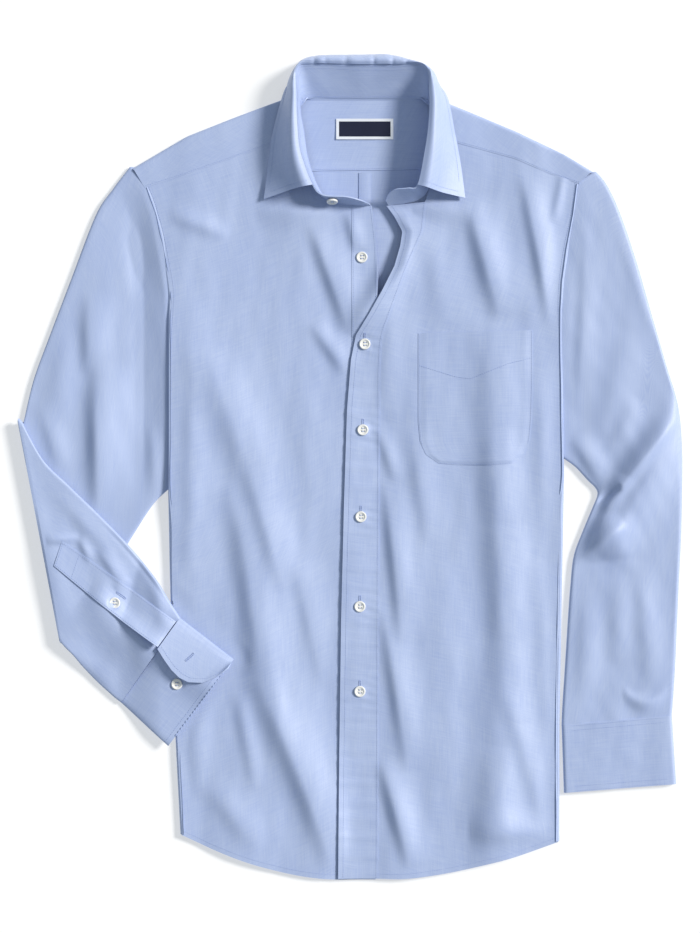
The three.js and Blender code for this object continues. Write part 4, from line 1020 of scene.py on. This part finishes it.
def bend_of(armhole):
    """How far the armhole curve lies from the straight line between its ends, at each share of it."""
    line = smooth(armhole)
    run = line[-1] - line[0]
    shares = (line - line[0]) @ run / (run @ run)

    def bend(share):
        on_curve = np.stack([np.interp(share, shares, axis) for axis in line.T], axis=-1)
        return on_curve - (line[0] + run * share[:, None])

    return bend


def rise_to_front(x, y):
    """How far the upper arm rises to the edge of the front that it passes under, out of a shallow dip."""
    beside_right = row_by(RIGHT_SIDE, "y", y)["x"] - x
    beside_left = x - row_by(LEFT_SIDE, "y", y)["x"]
    right = np.interp(beside_right, *ARM_DIP) * smoothstep(y, -70, 20)
    left = LEFT_ARM_RISE * (1 - smoothstep(beside_left, 4, 24)) * smoothstep(y, 0, 60)
    return np.where(x < 0, right, left)


def sleeve_rings(rows, bend, folds, inset, seed, forearm_folds=None):
    """The rings in place: bent to the armhole, lifted by folds, and turned about the sleeve's fold."""
    fold_run = unit(FOLD_END - FOLD_START)
    fold_out = np.array([fold_run[1], -fold_run[0]])
    rings = []
    for a_x, a_y, b_x, b_y, bow, turn, high_a, high_b in zip(*rows.values()):
        a, b = np.array([a_x, a_y]), np.array([b_x, b_y])
        width = np.linalg.norm(b - a)
        across, z, upper, lower = flat_ring(width, high_a, high_b, inset)
        share = across / width
        plan = a + (b - a) * share[:, None]
        if bend:
            plan = plan + bend(np.clip(share, 0, 1)) * bow
        x, y = plan.T
        lift = ripples(x, 0.3 * y, seed, 50, 0.4) + ripples(x, 0.6 * y, seed + 40, 22, 0.1)
        lift = lift * sizes().ripple
        if turn <= 0 and folds:
            lift = lift + folds_at(folds, x, y) + rise_to_front(x, y)
        reach = FOLD_AXIS_HEIGHT - z - upper * lift * (1 - min(max(turn, 0), 1))
        reach = np.where(upper > 0, np.minimum(reach, FOLD_AXIS_HEIGHT - LEAST_HEIGHT + inset), reach)
        angle = math.pi * min(max(turn, 0), 1)
        plan = plan + fold_out * (reach * max(math.sin(angle), 0) ** ROLL_SQUARE)[:, None]
        z = FOLD_AXIS_HEIGHT - reach * math.cos(angle)
        if turn >= 1:
            z = z + carrier(plan[:, 0], plan[:, 1]) - FOLD_AXIS_HEIGHT
            z = z + lower * (lift + folds_at(forearm_folds, x, y))
        rings.append(np.column_stack([plan, z]))
    return np.array(rings)


def tucked(rings, inward):
    """The rings with one more before them, which reaches in under the edge of the front."""
    first = rings[:1] * [1, 1, TUCK["flatten"]] + [inward * TUCK["in"], 0, 0]
    return np.concatenate([first, rings])


def sleeve(name, rows, armhole, folds, places, seed, inward, forearm_folds=None):
    stations = row_at(rows, places)
    stations["turn"] = np.clip(stations["turn"], 0, 1)
    walls = [
        tucked(sleeve_rings(stations, bend_of(armhole), folds, inset, seed, forearm_folds), inward)
        for inset in (0, sizes().wall)
    ]
    return tube(name, *walls, cotton())


class ShirtSleeves(bpy.types.Operator):
    """The left sleeve, and the right one folded over at the elbow"""

    bl_idname = "shirt.sleeves"
    bl_label = "Sleeves"

    def execute(self, context):
        left = sleeve("sleeve_left_cloth", LEFT_SLEEVE, LEFT_ARMHOLE, LEFT_SLEEVE_FOLDS,
                      np.linspace(0, 14, 170), 11, -1)
        cloth_piece(left, ["sleeve_left"])
        knots = [0, 5.999, 6, 10, 10.001, 17]
        stops = [0, 90, 91, 115, 116, 200]
        places = np.interp(np.arange(201), stops, knots)
        right = sleeve("sleeve_right_cloth", RIGHT_SLEEVE, RIGHT_ARMHOLE, RIGHT_SLEEVE_FOLDS, places, 12,
                       1, FOREARM_FOLDS)
        cloth_piece(right, ["sleeve_right"])
        return {"FINISHED"}


GAUNTLET_END_RISE = 1.4
GAUNTLET_SEAT = (0.1, 0.5)


def cuff_row(cuff, t, high):
    level = np.full_like(t, high)
    flat = np.zeros_like(t)
    row = {}
    for side in "AB":
        for k, axis in enumerate("XY"):
            row[side.lower() + axis] = lerp(cuff["seam" + side][k], cuff["end" + side][k], t)
    return row | {"bow": flat, "turn": flat, "highA": level, "highB": level}


def wrapped_cuff(steps):
    """The right cuff: one strip wrapped round the wrist, its rounded end lapping over the other."""
    rows = cuff_row(RIGHT_CUFF, np.linspace(0, 1, steps), CUFF_LAYER)
    small, large = CUFF_LAYER / 2, CUFF_FLAP / 2
    turn = math.pi * np.linspace(0, 1, 9)
    lapped = np.linspace(0.05, 1, 24)
    lift = FLAP_LIFT * lapped**0.7
    lower = np.linspace(0.1, 0.92, 40)
    belly = BELLY["high"] * np.exp(-(((lower - BELLY["at"]) / BELLY["wide"]) ** 2))
    grid = []
    edges = (rows[name] for name in ("aX", "aY", "bX", "bY"))
    for t, a_x, a_y, b_x, b_y in zip(np.linspace(0, 1, steps), *edges):
        a, b = np.array([a_x, a_y]), np.array([b_x, b_y])
        width = np.linalg.norm(b - a)
        tip = max(row_by(FLAP, "along", t)["across"] * width, large + 3)
        path = np.vstack([
            np.column_stack([lower * width, CUFF_LAYER + belly]),
            np.column_stack([width - CUFF_ROLL + CUFF_ROLL * np.sin(turn), small + small * np.cos(turn)]),
            np.column_stack([np.linspace(0.9, 0.1, 16) * width, np.zeros(16)]),
            np.column_stack([large - large * np.sin(turn), large - large * np.cos(turn)]),
            np.column_stack([lerp(large, tip, lapped), CUFF_FLAP + lift * (1 - 0.15 * t)]),
        ])
        plan = a + (b - a) * (path[:, :1] / width)
        level = path[:, 1] + carrier(plan[:, 0], plan[:, 1]) + FOREARM_LIFT
        sewn = slice(0, len(lower))
        level[sewn] = pinned(*plan[sewn].T, level[sewn], ["button_cuff"])
        grid.append(np.column_stack([plan, level]))
    return np.array(grid)[::-1]


class ShirtCuffs(bpy.types.Operator):
    """The left cuff, the open right cuff and the gauntlet strip above it"""

    bl_idname = "shirt.cuffs"
    bl_label = "Cuffs"

    def execute(self, context):
        t = np.linspace(0, 1, 30)
        rows = cuff_row(LEFT_CUFF, t, 6.5)
        outer, inner = (sleeve_rings(rows, None, None, inset, 14) for inset in (0, CLOTH))
        cloth_piece(tube("cuff_left_cloth", outer, inner, cotton()), ["cuff_left"])
        right = shell("cuff_right_cloth", wrapped_cuff(50), cotton(), CLOTH)
        cloth_piece(right, ["cuff_right"])
        share = np.linspace(0, 1, 80)
        low, high = (along(np.array(GAUNTLET[edge], float), share)[:, None] for edge in ("low", "high"))
        v = np.linspace(0, 1, 20)[None, :, None]
        plan = lerp(low, high, v)
        seats, _ = seats_on(tree_of("sleeve_right_cloth"), plan.reshape(-1, 2))
        grid = seats.reshape(80, 20, 3)
        x, y, z = np.moveaxis(grid, -1, 0)
        rise = lerp(0.9, FLAP_LIFT, smoothstep(share, 0.5, 1)[:, None]) * (1 - v[..., 0]) ** 0.7
        rise = rise + GAUNTLET_END_RISE * smoothstep(share, 0.86, 1)[:, None]
        rise = rise + lerp(*GAUNTLET_SEAT, smoothstep(share, 0, 0.15)[:, None])
        grid[..., 2] = pinned(x, y, z + rise, ["button_gauntlet"], 5.0)
        grid = np.concatenate([grid, grid[-1:] + (grid[-1:] - grid[-2:-1]) * [1.6, 1.6, 0] - [0, 0, 0.3]])
        strip = shell("gauntlet_cloth", grid, cotton(), APPLIED_WALL)
        cloth_piece(strip, ["gauntlet"])
        return {"FINISHED"}


# Thread

OTHER_HOLES = (
    ("cuff_right_cloth", (-161.6, -190.4), 0.73),
    ("gauntlet_cloth", (-231.5, -128.5), -0.65),
)
SECTIONS = ((0.0, 0.5, 0.0), (0.5, 1.0, 0.7), (1.0, 0.5, 0.0))


def bars(starts, ends, ways, radius):
    """Short threads between pairs of points, each with its way out of the cloth."""
    aside = unit(np.cross(ends - starts, ways)) * radius
    up = ways * radius * 0.8
    rings = []
    for share, thick, lift in SECTIONS:
        middle = lerp(starts, ends, share) + ways * radius * lift
        rings.append(np.stack([middle + thick * way for way in (aside, up, -aside, -up)], axis=1))
    points = np.concatenate(rings, axis=1)
    sides = [(k, (k + 1) % 4, (k + 1) % 4 + 4, k + 4) for k in range(4)]
    one = np.array(sides + [tuple(c + 4 for c in side) for side in sides] + [(3, 2, 1, 0), (8, 9, 10, 11)])
    faces = one[None] + (np.arange(len(starts)) * 12)[:, None, None]
    return points.reshape(-1, 3), faces.reshape(-1, 4)


def merged(parts):
    """Several sets of points and faces as one."""
    points, faces, count = [], [], 0
    for some_points, some_faces in parts:
        points.append(some_points)
        faces.append(some_faces + count)
        count += len(some_points)
    return np.vstack(points), np.vstack(faces)


def stitches(points, ways, pitch=None, radius=None):
    """A row of stitches along a line on the cloth."""
    pitch = pitch or sizes().stitch
    radius = radius or sizes().thread
    run = lengths(points)
    begin = np.arange(0.3 * pitch, run[-1] - pitch, pitch)

    def at(places, values):
        return np.stack([np.interp(places, run, axis) for axis in values.T], axis=-1)

    out = unit(at(begin + 0.35 * pitch, ways))
    return bars(at(begin, points) + out * 0.05, at(begin + 0.7 * pitch, points) + out * 0.05, out, radius)


# Buttons


def pearl():
    if "button_pearl" not in bpy.data.materials:
        look = Shade("button_pearl", {"Coat Weight": 0.4})
        cloud = look.noise(look.node("ShaderNodeTexCoord", output="Object"), CLOUD_SCALE, 3.0)
        look.feed("Base Color", look.mix(cloud, (0.78, 0.76, 0.7, 1), list(colours().button)))
        look.feed("Roughness", 0.2 + cloud * 0.15)
    return bpy.data.materials["button_pearl"]


SEWN_ENDS = (
    np.array([[-1.5, -1.5, 0.4], [-1.5, 1.5, 0.4], [-1.5, -1.1, 0.4], [-1.5, 1.1, 0.4]]),
    np.array([[1.5, -1.5, 0.4], [1.5, 1.5, 0.4], [1.5, -1.9, 0.4], [1.5, 1.9, 0.4]]),
)


def button_points():
    """A turned disc with a raised rim, a sunk middle and four holes."""
    radius = sizes().button / 2
    thick = 2.4
    rings = np.linspace(0, 1, 26)[:, None]
    angle = np.linspace(0, math.tau, 56, endpoint=False)[None, :]
    x, y = rings * radius * np.cos(angle), rings * radius * np.sin(angle)
    top = thick / 2 - 0.75 * (1 - smoothstep(rings, 0.55, 0.78)) - 0.9 * smoothstep(rings, 0.9, 1) ** 2
    z = top + 0 * angle
    for i, j in ((1, 1), (1, -1), (-1, 1), (-1, -1)):
        away = np.hypot(x - i * 1.5, y - j * 1.5)
        z = z - 1.1 * (1 - smoothstep(away, 0.5, 1.0))
    face = np.stack([x, y, z], axis=-1)
    low = -thick / 2 + 0.6 * smoothstep(rings[::-1], 0.8, 1) + 0 * angle
    under = np.stack([x[::-1], y[::-1], low], axis=-1)
    return np.concatenate([face, under])


class ShirtButtons(bpy.types.Operator):
    """Nine four-hole buttons with their thread"""

    bl_idname = "shirt.buttons"
    bl_label = "Buttons"

    def execute(self, context):
        disc = button_points()
        faces = grid_faces(*disc.shape[:2], closed=True)[:, ::-1].tolist()
        sewn = []
        for name in (*FRONT_BUTTON_NAMES, "button_cuff", "button_gauntlet", "button_stand"):
            low, high = box_of(name)
            middle = (low + high) / 2
            lean = STAND_BUTTON_LEAN if name == "button_stand" else 0.0
            turned = turned_by(disc.reshape(-1, 3), lean) + middle
            piece = object_from(name + "_pearl", turned, faces, pearl(), sharp=SHARP_BUTTON)
            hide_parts(name)
            sewn.append(bars(*(turned_by(ends, lean) + middle for ends in SEWN_ENDS),
                             turned_by(np.array([[0, 0, 1.0]] * len(SEWN_ENDS[0])), lean), 0.34))
        points, faces = merged(sewn)
        threads = object_from("button_threads", points, faces.tolist(), thread_darkened_as_groove_shade())
        return {"FINISHED"}


def turned_by(points, lean):
    c, s = math.cos(lean), math.sin(lean)
    x, y, z = points.T
    return np.column_stack([x, y * c - z * s, y * s + z * c])


# Rows of stitches


def side_row(name, inset, rows=slice(None), turned=False, last=False, side=None, **thread):
    """Stitches at one inset from a side of a laid piece. turned takes the first row as that side, and last
    the far one. side is 1 or -1 for the face on that side of a grid in the middle of the wall."""
    grid = laid[name]
    if turned:
        grid = grid.transpose(1, 0, 2)
    if last:
        grid = grid[:, ::-1]
    points, ways = line_on(grid, rows, inset)
    if side:
        side = -side if turned != last else side
        points = points + ways * side * CLOTH / 2
    return stitches(points, ways * (side or np.sign(ways[:, 2].sum())), **thread)


def drawn_row(name, corners, pitch=None):
    """Stitches along a line in plan, on top of a piece."""
    plan = along(np.array(corners, float), np.linspace(0, 1, 60))
    return stitches(*seats_on(tree_of(name), plan), pitch, 0.34)


def buttonhole(name, middle, angle, length):
    """Close bars on both sides of a slit, and one across each end."""
    ahead = np.array([math.cos(angle), math.sin(angle)])
    aside = np.array([-ahead[1], ahead[0]])
    tree = tree_of(name)
    steps = np.arange(-length / 2, length / 2, 0.62)[:, None]
    begin, finish = [], []
    for way in (-1, 1):
        begin.append(middle + ahead * steps + aside * way * 0.25)
        finish.append(middle + ahead * steps + aside * way * 1.25)
    for way in (-1, 1):
        begin.append((middle + ahead * way * length / 2 - aside * 1.3)[None])
        finish.append((middle + ahead * way * length / 2 + aside * 1.3)[None])
    low, ways = seats_on(tree, np.vstack(begin))
    high, _ = seats_on(tree, np.vstack(finish))
    return bars(low + ways * 0.1, high + ways * 0.1, ways, 0.33)


class ShirtStitching(bpy.types.Operator):
    """The rows of stitches and the buttonholes"""

    bl_idname = "shirt.stitching"
    bl_label = "Stitching"

    def execute(self, context):
        y = laid["front_left_cloth"][:, 0, 1]
        upper = slice(0, int(np.argmax(y < 120)))
        panels = [
            side_row("front_placket_cloth", 5.0),
            side_row("front_placket_cloth", 1.6, last=True),
            side_row("button_band_cloth", 1.6),
            side_row("button_band_cloth", 1.6, last=True),
            side_row("front_left_cloth", 9.5, rows=upper, last=True),
            side_row("front_right_cloth", 9.5, rows=upper),
            side_row("front_left_cloth", 5.0, turned=True, last=True, rows=slice(0, FRONT_COLUMNS)),
            side_row("front_right_cloth", 5.0, turned=True, last=True, rows=slice(10, None)),
            side_row("yoke_cloth", 1.6, last=True, rows=slice(0, 92)),
            side_row("yoke_cloth", 1.6, last=True, rows=slice(130, None)),
            drawn_row("yoke_cloth", INNER_YOKE_ROW),
            side_row("pocket_cloth", 1.2, rows=slice(0, 66)),
            side_row("pocket_cloth", 1.2, rows=slice(0, 66), last=True),
            side_row("pocket_cloth", 1.2, turned=True, last=True, rows=slice(1, -1)),
            drawn_row("pocket_cloth", POCKET_HEM),
        ]
        collar = [
            side_row("collar_fall_cloth", 5.0, last=True, rows=slice(10, -10), side=1),
            side_row("collar_fall_cloth", 5.0, turned=True, rows=slice(2, -4), side=1),
            side_row("collar_fall_cloth", 5.0, turned=True, last=True, rows=slice(2, -4), side=1),
        ]
        collar += [side_row("collar_stand_cloth", inset, last=last, side=1)
                   for inset, last in ((2.0, False), (2.5, True), (6.0, True))]
        upper_side = slice(RING_POINTS + CORNER_STEPS + 3, 2 * RING_POINTS + CORNER_STEPS - 1)
        sleeves = [
            side_row("cuff_left_cloth", inset, turned=True, last=last, rows=upper_side)
            for inset in (1.4, 6.0)
            for last in (False, True)
        ]
        sleeves += [
            side_row("cuff_right_cloth", 5.0, last=True),
            side_row("cuff_right_cloth", 5.0, turned=True, rows=slice(2, 46)),
            side_row("cuff_right_cloth", 1.6, turned=True, last=True, rows=slice(2, 46)),
            # Thick dashes along the cuff's end: stitches drawn wider and dark as painted shade for the gap
            # where the cuff's inner layer shows.
            side_row("cuff_right_cloth", 0.4, turned=True, rows=slice(0, 40), pitch=4.2, radius=0.75),
            side_row("gauntlet_cloth", 1.8),
            side_row("gauntlet_cloth", 1.8, last=True),
            side_row("gauntlet_cloth", 1.8, turned=True),
            side_row("gauntlet_cloth", 22.0, turned=True),
        ]
        holes = [
            buttonhole("front_placket_cloth", np.array([x, y + 3.5]), math.pi / 2, 15)
            for x, y in FRONT_BUTTONS[1:]
        ]
        holes += [buttonhole(name, np.array(place), angle, 11) for name, place, angle in OTHER_HOLES]
        for name, parts in (("panel_stitches", panels), ("collar_stitches", collar),
                            ("sleeve_stitches", sleeves), ("buttonholes", holes)):
            points, faces = merged(parts)
            piece = object_from(name, points, faces.tolist(), thread_darkened_as_groove_shade())
        return {"FINISHED"}


# Stage

KEY_FROM = (0.76, 0.31, 0.574)
KEY_WIDTH = math.radians(15)
FLOOR_HALF = 4
FLOOR_DROP = 0.0005
LENS = 100
EYE_HEIGHT = 2.633
EYE_OFFSET = 0.0019


class ShirtStage(bpy.types.Operator):
    """The white table, the light from the upper right, and the camera straight above"""

    bl_idname = "shirt.stage"
    bl_label = "Stage"

    def execute(self, context):
        floor = bpy.data.meshes.new("floor")
        corners = [(x * FLOOR_HALF, y * FLOOR_HALF, 0) for x, y in ((-1, -1), (1, -1), (1, 1), (-1, 1))]
        floor.from_pydata(corners, [], [(0, 1, 2, 3)])
        look = Shade("floor_white", {
            "Roughness": 0.9, "Base Color": list(colours().floor), "Emission Color": (1, 1, 1, 1),
            "Emission Strength": sizes().table_glow,
        })
        floor.materials.append(look.material)
        table_top = bpy.data.objects.new("floor", floor)
        bpy.context.collection.objects.link(table_top)
        table_top.location.z = -FLOOR_DROP
        world = bpy.data.worlds.new("studio")
        world.use_nodes = True
        background = world.node_tree.nodes["Background"]
        background.inputs["Color"].default_value = list(colours().sky)
        background.inputs["Strength"].default_value = sizes().fill_light
        context.scene.world = world
        context.scene.view_settings.view_transform = "Standard"
        sun = bpy.data.lights.new("key", "SUN")
        sun.energy = sizes().key_light
        sun.color = colours().sun[:3]
        sun.angle = KEY_WIDTH
        holder = bpy.data.objects.new("key", sun)
        context.collection.objects.link(holder)
        holder.rotation_euler = (-Vector(KEY_FROM)).to_track_quat("-Z", "Y").to_euler()
        camera = bpy.data.cameras.new("camera")
        camera.lens = LENS
        eye = bpy.data.objects.new("camera", camera)
        context.collection.objects.link(eye)
        shift = SHIFT / 1000
        eye.location = (shift[0], shift[1] + EYE_OFFSET, EYE_HEIGHT)
        context.scene.camera = eye
        return {"FINISHED"}


# Settings, panel and registration


def size(name, description, default, **more):
    return bpy.props.FloatProperty(name=name, description=description, default=default, **more)


def colour(name, description, default):
    return bpy.props.FloatVectorProperty(
        name=name, description=description, subtype="COLOR", size=4, min=0, max=1, default=default
    )


class ShirtSizes(bpy.types.PropertyGroup):
    """Sizes of the cloth, the trims and the light."""

    wall: size("Cloth wall", "Thickness of one layer of cloth, in millimetres", 1.0)
    weave_pitch: size(
        "Weave pitch", "Length of one over and under of the weave", 0.0006, unit="LENGTH", precision=4
    )
    stitch: size("Stitch", "Length of one stitch and the gap after it, in millimetres", 2.3)
    thread: size("Thread", "Radius of the sewing thread, in millimetres", 0.26)
    ripple: size("Ripple", "Strength of the small unevenness of the cloth", 1.0)
    button: size("Button", "Diameter of the buttons, in millimetres", 11.4)
    key_light: size("Key light", "Strength of the light from the upper right", 3.85)
    table_glow: size("Table glow", "How much the white table shines by itself", 0.5)
    fill_light: size("Fill light", "Strength of the even light from all round", 0.42)


class ShirtColours(bpy.types.PropertyGroup):
    """Colours of the cloth, thread, buttons, label and table."""

    warp: colour("Warp", "Yarn along the cloth", (0.27, 0.355, 0.63, 1))
    weft: colour("Weft", "Yarn across the cloth", (0.56, 0.635, 0.79, 1))
    # The thread colour is partly the thread's own blue and partly painted shade: it is darker than the
    # cloth so that stitch rows read as shaded grooves.
    thread: colour("Thread", "Sewing thread", (0.17, 0.26, 0.6, 1))
    button: colour("Button", "Lightest colour of the buttons", (0.93, 0.92, 0.88, 1))
    label: colour("Label", "Ground of the neck label", (0.009, 0.012, 0.036, 1))
    label_edge: colour("Label edge", "Border of the neck label", (0.8, 0.82, 0.86, 1))
    floor: colour("Table", "The surface below the shirt", (0.5, 0.5, 0.5, 1))
    sky: colour("Fill", "The even light from all round", (0.76, 0.88, 1, 1))
    sun: colour("Key", "The light from the upper right", (1, 0.97, 0.93, 1))


STEPS = (
    ShirtFronts, ShirtPocket, ShirtBack, ShirtLabel, ShirtCollar, ShirtSleeves, ShirtCuffs,
    ShirtButtons, ShirtStitching, ShirtStage,
)


class ShirtPanel(bpy.types.Panel):
    """Lists the shirt's sizes, colours and steps in the sidebar"""

    bl_idname = "VIEW3D_PT_shirt"
    bl_label = "Dress shirt"
    bl_space_type = "VIEW_3D"
    bl_region_type = "UI"
    bl_category = "Shirt"

    def draw(self, context):
        for group in (context.scene.shirt_sizes, context.scene.shirt_colours):
            for name in group.bl_rna.properties.keys():
                if name not in ("name", "rna_type"):
                    self.layout.prop(group, name)
        for step in STEPS:
            self.layout.operator(step.bl_idname)


CLASSES = (ShirtSizes, ShirtColours, *STEPS, ShirtPanel)


def register():
    for kind in CLASSES:
        bpy.utils.register_class(kind)
    bpy.types.Scene.shirt_sizes = bpy.props.PointerProperty(type=ShirtSizes)
    bpy.types.Scene.shirt_colours = bpy.props.PointerProperty(type=ShirtColours)


def unregister():
    del bpy.types.Scene.shirt_colours
    del bpy.types.Scene.shirt_sizes
    for kind in reversed(CLASSES):
        bpy.utils.unregister_class(kind)


def main():
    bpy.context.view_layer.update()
    register()
    for step in STEPS:
        group, action = step.bl_idname.split(".")
        getattr(getattr(bpy.ops, group), action)()


if __name__ == "__main__":
    main()
